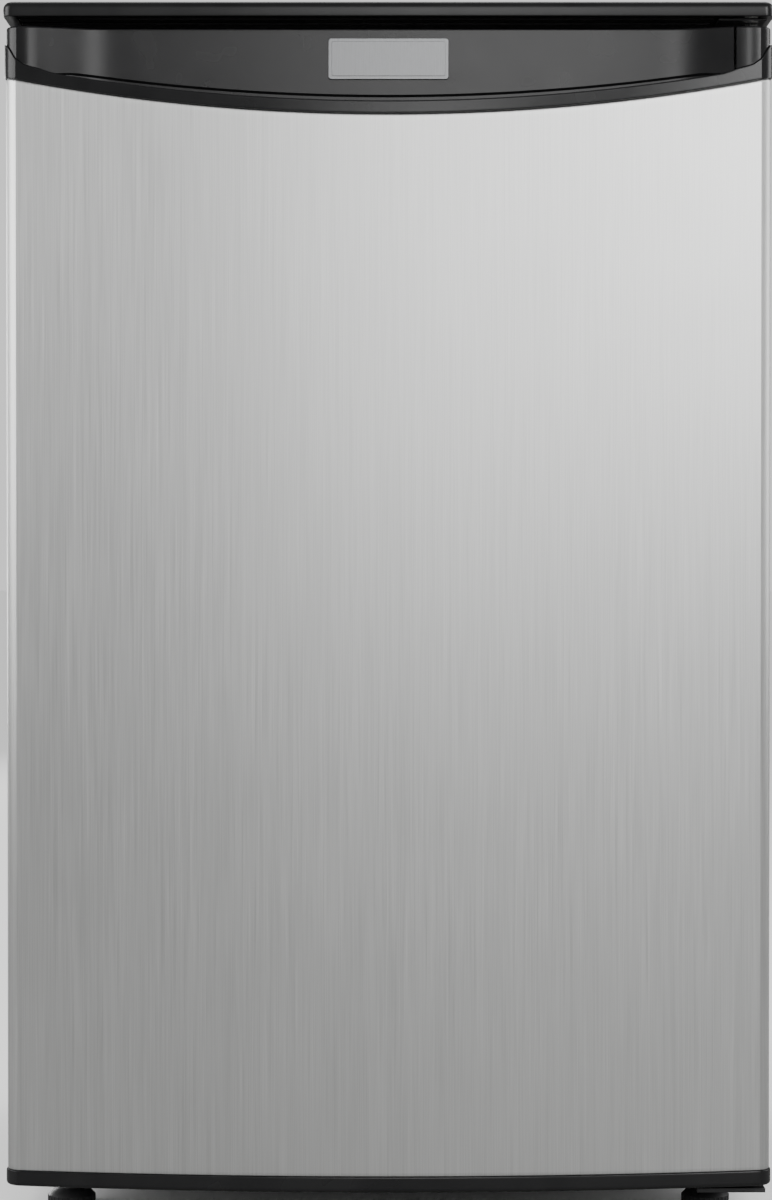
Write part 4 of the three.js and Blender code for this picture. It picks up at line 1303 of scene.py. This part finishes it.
# a smooth path that visits every point
def throughPoints(points, steps=8):
    ends = [points[0], *points, points[-1]]
    path = []
    for index in range(1, len(ends) - 2):
        p0, p1, p2, p3 = (Vector(ends[index + k]) for k in (-1, 0, 1, 2))
        for step in range(steps):
            t = step / steps
            a = 2 * p1 + (p2 - p0) * t
            b = (2 * p0 - 5 * p1 + 4 * p2 - p3) * t * t
            c = (3 * p1 - p0 - 3 * p2 + p3) * t * t * t
            path.append(tuple((a + b + c) / 2))
    path.append(tuple(points[-1]))
    return path


def addCondenser():
    y, half, top, pitch = (coilSet[key] for key in ("y", "half", "top", "pitch"))
    bend = pitch / 2
    path = [(half, y, top)]
    for turn in range(coilSet["passes"] - 1):
        side = 1 if turn % 2 else -1
        z = top - turn * pitch
        for step in range(13):
            angle = math.pi * step / 12
            x = side * (half - bend + bend * math.sin(angle))
            path.append((x, y, z - bend + bend * math.cos(angle)))
    last = top - (coilSet["passes"] - 1) * pitch
    tail = throughPoints([
        (-half, y, last), (-222, y, last - 8), (-230, y, last - 30), (-230, y, 250),
        (-222, 246, 218), (-195, 232, 198), (-165, 213, 197), (-152, 206, 192), (-150, 205, 177),
    ])
    coil = tube(path + tail, coilSet["radius"], 3, False)
    settle(coil, "coil_tube", "cabinet", "paintedBlack", "condenser_coil")
    layers = []
    start = -coilSet["wireStep"] * (coilSet["wires"] - 1) / 2
    for away in (-3.1, 3.1):
        ends = (start, y + away, coilSet["wireLow"]), (start, y + away, coilSet["wireHigh"])
        wire = bar(*ends, coilSet["wireRadius"], 6)
        layers.append(repeat(wire, coilSet["wires"], (coilSet["wireStep"], 0, 0)))
    settle(joinPieces(layers), "coil_wires", "cabinet", "paintedBlack")
    for row in ("lower", "upper"):
        for side in ("left", "right"):
            node = f"condenser_clip_{row}_{side}"
            copyOf(node, f"coil_clip_{row}_{side}", "cabinet", "satinBlack", 0.8, 3)


addCondenser()
print("condenser done")

# the compressor bay
baySet = {
    "x": 70, "y": 178, "stepX": 62, "stepY": 45,
    "label": ((67.6, 78), (68.35, 78), (68.35, 104), (67.6, 104)),
    "stub": ((34, 60, 132), (38, 68, 132), (41, 74, 136), (41, 75, 152)),
    "grommet": (
        (0, 27.9), (10.6, 27.9), (11, 28.6), (11, 31.6), (8.8, 33.6), (8.4, 37), (8.8, 40.2),
        (11, 42.2), (11, 45.2), (10.4, 45.7), (0, 45.7),
    ),
    "drier": (
        (0, 70), (2.6, 70), (3, 78), (4.4, 82), (7.6, 87), (9, 92), (9, 156), (7.6, 161),
        (4.4, 166), (3.4, 170), (3.2, 178), (0, 178),
    ),
    "gland": (
        (3.4, 263.6), (3.4, 270.2), (4.6, 270.2), (5, 269.6), (5, 265.4), (8, 264.9), (8, 262.6),
        (7.6, 262.3), (0, 262.3), (0, 263.6), (3.4, 263.6),
    ),
    "coilTurns": 3, "coilRadius": 19, "coilCentre": (-128, 204), "coilFoot": 60, "coilRise": 16,
}


def addCompressor():
    x, y = baySet["x"], baySet["y"]
    can = [
        (0, 48.5), (40, 49.5), (52, 52), (61, 58), (66, 66), (68, 76), (68, 107.6), (71, 107.8),
        (71.8, 108.6), (71.8, 112), (71, 112.8), (68.2, 113), (68, 126), (67, 140), (64.5, 151),
        (59, 161), (50, 169), (36, 174.4), (18, 176.6), (0, 177),
    ]
    parts = [turned(can, (x, y, 0), "Z", 64)]
    wide, deep = baySet["stepX"] + 14, baySet["stepY"] + 14
    base = block((x - wide, y - deep, 46), (x + wide, y + deep, 49))
    bevelWhere(base, pickEdges, lambda a, b: abs(a.z - b.z) > 1, 11, 5)
    parts.append(soften(base, 0.8))
    parts.append(bar((x + 20, y + 66, 140), (x + 20, y + 73, 141), 4, 20, 0.4))
    settle(joinPieces(parts), "compressor_can", "cabinet", "paintedBlack", "compressor_shell")
    label = []
    for step in range(13):
        angle = math.radians(62 + 56 * step / 12)
        ca, sa = math.cos(angle), math.sin(angle)
        label.append([(x + r * ca, y + r * sa, z) for r, z in baySet["label"]])
    settle(loft(label), "rating_label_blank", "cabinet", "linerWhite")
    path = throughPoints([(x + dx, y + dy, z) for dx, dy, z in baySet["stub"]])
    settle(tube(path, 3, 4, False), "process_stub", "cabinet", "copper")
    copyOf("compressor_relay_cover", "relay_box", "cabinet", "satinBlack", 1.6, 3)
    nuts = []
    for row, sy in (("front", -1), ("rear", 1)):
        for side, sx in (("left", -1), ("right", 1)):
            place = (x + sx * baySet["stepX"], y + sy * baySet["stepY"])
            pad = turned(baySet["grommet"], (*place, 0), "Z", 32)
            spot = f"{row}_{side}"
            settle(pad, "mount_pad_" + spot, "cabinet", "rubber", "compressor_grommet_" + spot)
            nuts.append(hexBolt(*place, 49, 54, 5.4))
            nuts.append(bar((*place, 50), (*place, 57.5), 2.9, 16, 0.4))
    settle(joinPieces(nuts), "mount_nuts", "cabinet", "pinSteel")


def addPlumbing():
    suction = throughPoints([
        (139.5, 172, 128), (158, 170, 128), (184, 168, 136), (198, 168, 160), (200, 168, 190),
        (200, 168, 212.6),
    ])
    settle(tube(suction, 4, 5, False), "suction_tube", "cabinet", "copper", "suction_line")
    discharge = throughPoints([
        (119, 227, 135), (132, 240, 139), (160, 250, 165), (205, 252, 215), (230, 250, 280),
        (232, 250, 450), (232, 250, 600), (231, 250, 755), (223, 250, 776), (206, 250, 780),
    ])
    settle(tube(discharge, 2.5, 4, False), "discharge_tube", "cabinet", "copper", "discharge_line")
    drier = turned(baySet["drier"], (-150, 205, 0), "Z", 36)
    settle(drier, "drier_body", "cabinet", "copper", "filter_drier")
    path = [(-150, 205, 72), (-150, 205, 64), (-147, 204, 60)]
    (cx, cy), reach = baySet["coilCentre"], baySet["coilRadius"]
    for step in range(73):
        angle = math.tau * baySet["coilTurns"] * step / 72
        z = baySet["coilFoot"] + baySet["coilRise"] * step / 72
        path.append((cx - reach * math.cos(angle), cy - reach * math.sin(angle), z))
    rise = [(-149, 200, 84), (-160, 180, 120), (-162, 150, 180), (-162, 130, 212.6)]
    path += throughPoints([path[-1]] + rise)
    settle(tube(path, 1.1, 2, False), "capillary_tube", "cabinet", "copper")
    pan = tray((4, 130, 178), (136, 226, 203), 2, 10, 4)
    settle(pan, "drip_pan", "cabinet", "satinBlack", "drip_tray")
    copyOf("compressor_plate", "bay_floor", "cabinet", "galvanised", 0.5)
    gland = turned(baySet["gland"], (-205, 0, 36.5), "Y", 36)
    settle(gland, "cable_gland", "cabinet", "rubber", "cord_gland")


addCompressor()
addPlumbing()
print("compressor bay done")

# these are buried, so the frame's own shapes are painted
for node, finish in (("cabinet_foam", "foam"), ("door_foam", "foam"), ("thermostat_body", "galvanised")):
    paintNode(node, finish)

# the camera stands square to the door
cameraSet = {"place": (-1.7, -2298, 461), "pitch": 0.8, "lens": 90.2, "sensor": 36}


def addCamera():
    x, y, z = (value * mm for value in cameraSet["place"])
    turn = (math.radians(90 - cameraSet["pitch"]), 0, 0)
    deselectAll()
    bpy.ops.object.camera_add(location=(x, y, z), rotation=turn)
    camera = bpy.context.object
    camera.name = "camera"
    camera.data.lens = cameraSet["lens"]
    camera.data.sensor_width = cameraSet["sensor"]
    camera.data.clip_end = 50
    bpy.context.scene.camera = camera


# world, lamps and floor; the floor is stage, not part of the object
studioSet = {
    "glossy": 0.13,
    "diffuse": 0.95,
    "backdrop": 0.90,
    "floorSeen": (0.94, 0.94, 0.935, 1),
    "floorMirrored": (0.18, 0.18, 0.178, 1),
    "floorSize": 80,
    "floorRough": 0.7,
    # place, aim, size and power of each lamp
    "lights": {
        "keyRight": ((0.18, -3.0, 1.5), (0.18, 0, 1.0), (0.66, 1.9), 25),
        "wideRight": ((1.65, -2.6, 1.6), (0.1, 0, 0.8), (0.9, 1.8), 56),
        "stripLeft": ((-1.7, -0.6, 1.1), (-0.26, -0.2, 0.7), (1.2, 1.3), 28),
        "rimRight": ((2.2, 0.5, 1.2), (0.2, 0, 0.5), (1.2, 1.8), 24),
        "overhead": ((0.1, 1.4, 2.8), (0, 0.1, 0.5), (2.4, 1.8), 26),
        "backLeft": ((-2.5, 3.7, 0.8), (0, 0.2, 0.4), (2.2, 1.3), 75),
    },
}


def addStudio():
    world = bpy.data.worlds.new("studioWorld")
    bpy.context.scene.world = world
    world.use_nodes = True
    tree = world.node_tree
    back = tree.nodes["Background"]
    back.inputs["Color"].default_value = (1, 1, 1, 1)
    sight = addNode(tree, "ShaderNodeLightPath", (-900, 0))
    steps = (("Is Glossy Ray", "diffuse", "glossy"), ("Is Camera Ray", None, "backdrop"))
    level = None
    for ray, plain, lit in steps:
        choice = addNode(tree, "ShaderNodeMix", (-500 if plain else -250, 0))
        if plain:
            choice.inputs["A"].default_value = studioSet[plain]
        else:
            tree.links.new(level, choice.inputs["A"])
        choice.inputs["B"].default_value = studioSet[lit]
        tree.links.new(sight.outputs[ray], choice.inputs["Factor"])
        level = choice.outputs["Result"]
    tree.links.new(level, back.inputs["Strength"])
    for name, (place, target, size, power) in studioSet["lights"].items():
        deselectAll()
        bpy.ops.object.light_add(type="AREA", location=place)
        lamp = bpy.context.object
        lamp.name = name
        lamp.data.shape = "RECTANGLE"
        lamp.data.size, lamp.data.size_y = size
        lamp.data.energy = power
        aim = Vector(target) - Vector(place)
        lamp.rotation_euler = aim.to_track_quat("-Z", "Y").to_euler()
    deselectAll()
    bpy.ops.mesh.primitive_plane_add(size=studioSet["floorSize"], location=(0, 0, 0))
    floor = bpy.context.object
    floor.name = "floor"
    paint = bpy.data.materials.new("floorPaint")
    paint.use_nodes = True
    tones = paint.node_tree
    shader = tones.nodes["Principled BSDF"]
    seen = addNode(tones, "ShaderNodeLightPath", (-700, 0))
    tone = addNode(tones, "ShaderNodeMix", (-350, 0), data_type="RGBA")
    tone.inputs[6].default_value = studioSet["floorMirrored"]
    tone.inputs[7].default_value = studioSet["floorSeen"]
    tones.links.new(seen.outputs["Is Camera Ray"], tone.inputs["Factor"])
    tones.links.new(tone.outputs[2], shader.inputs["Base Color"])
    shader.inputs["Roughness"].default_value = studioSet["floorRough"]
    floor.data.materials.append(paint)


addCamera()
addStudio()
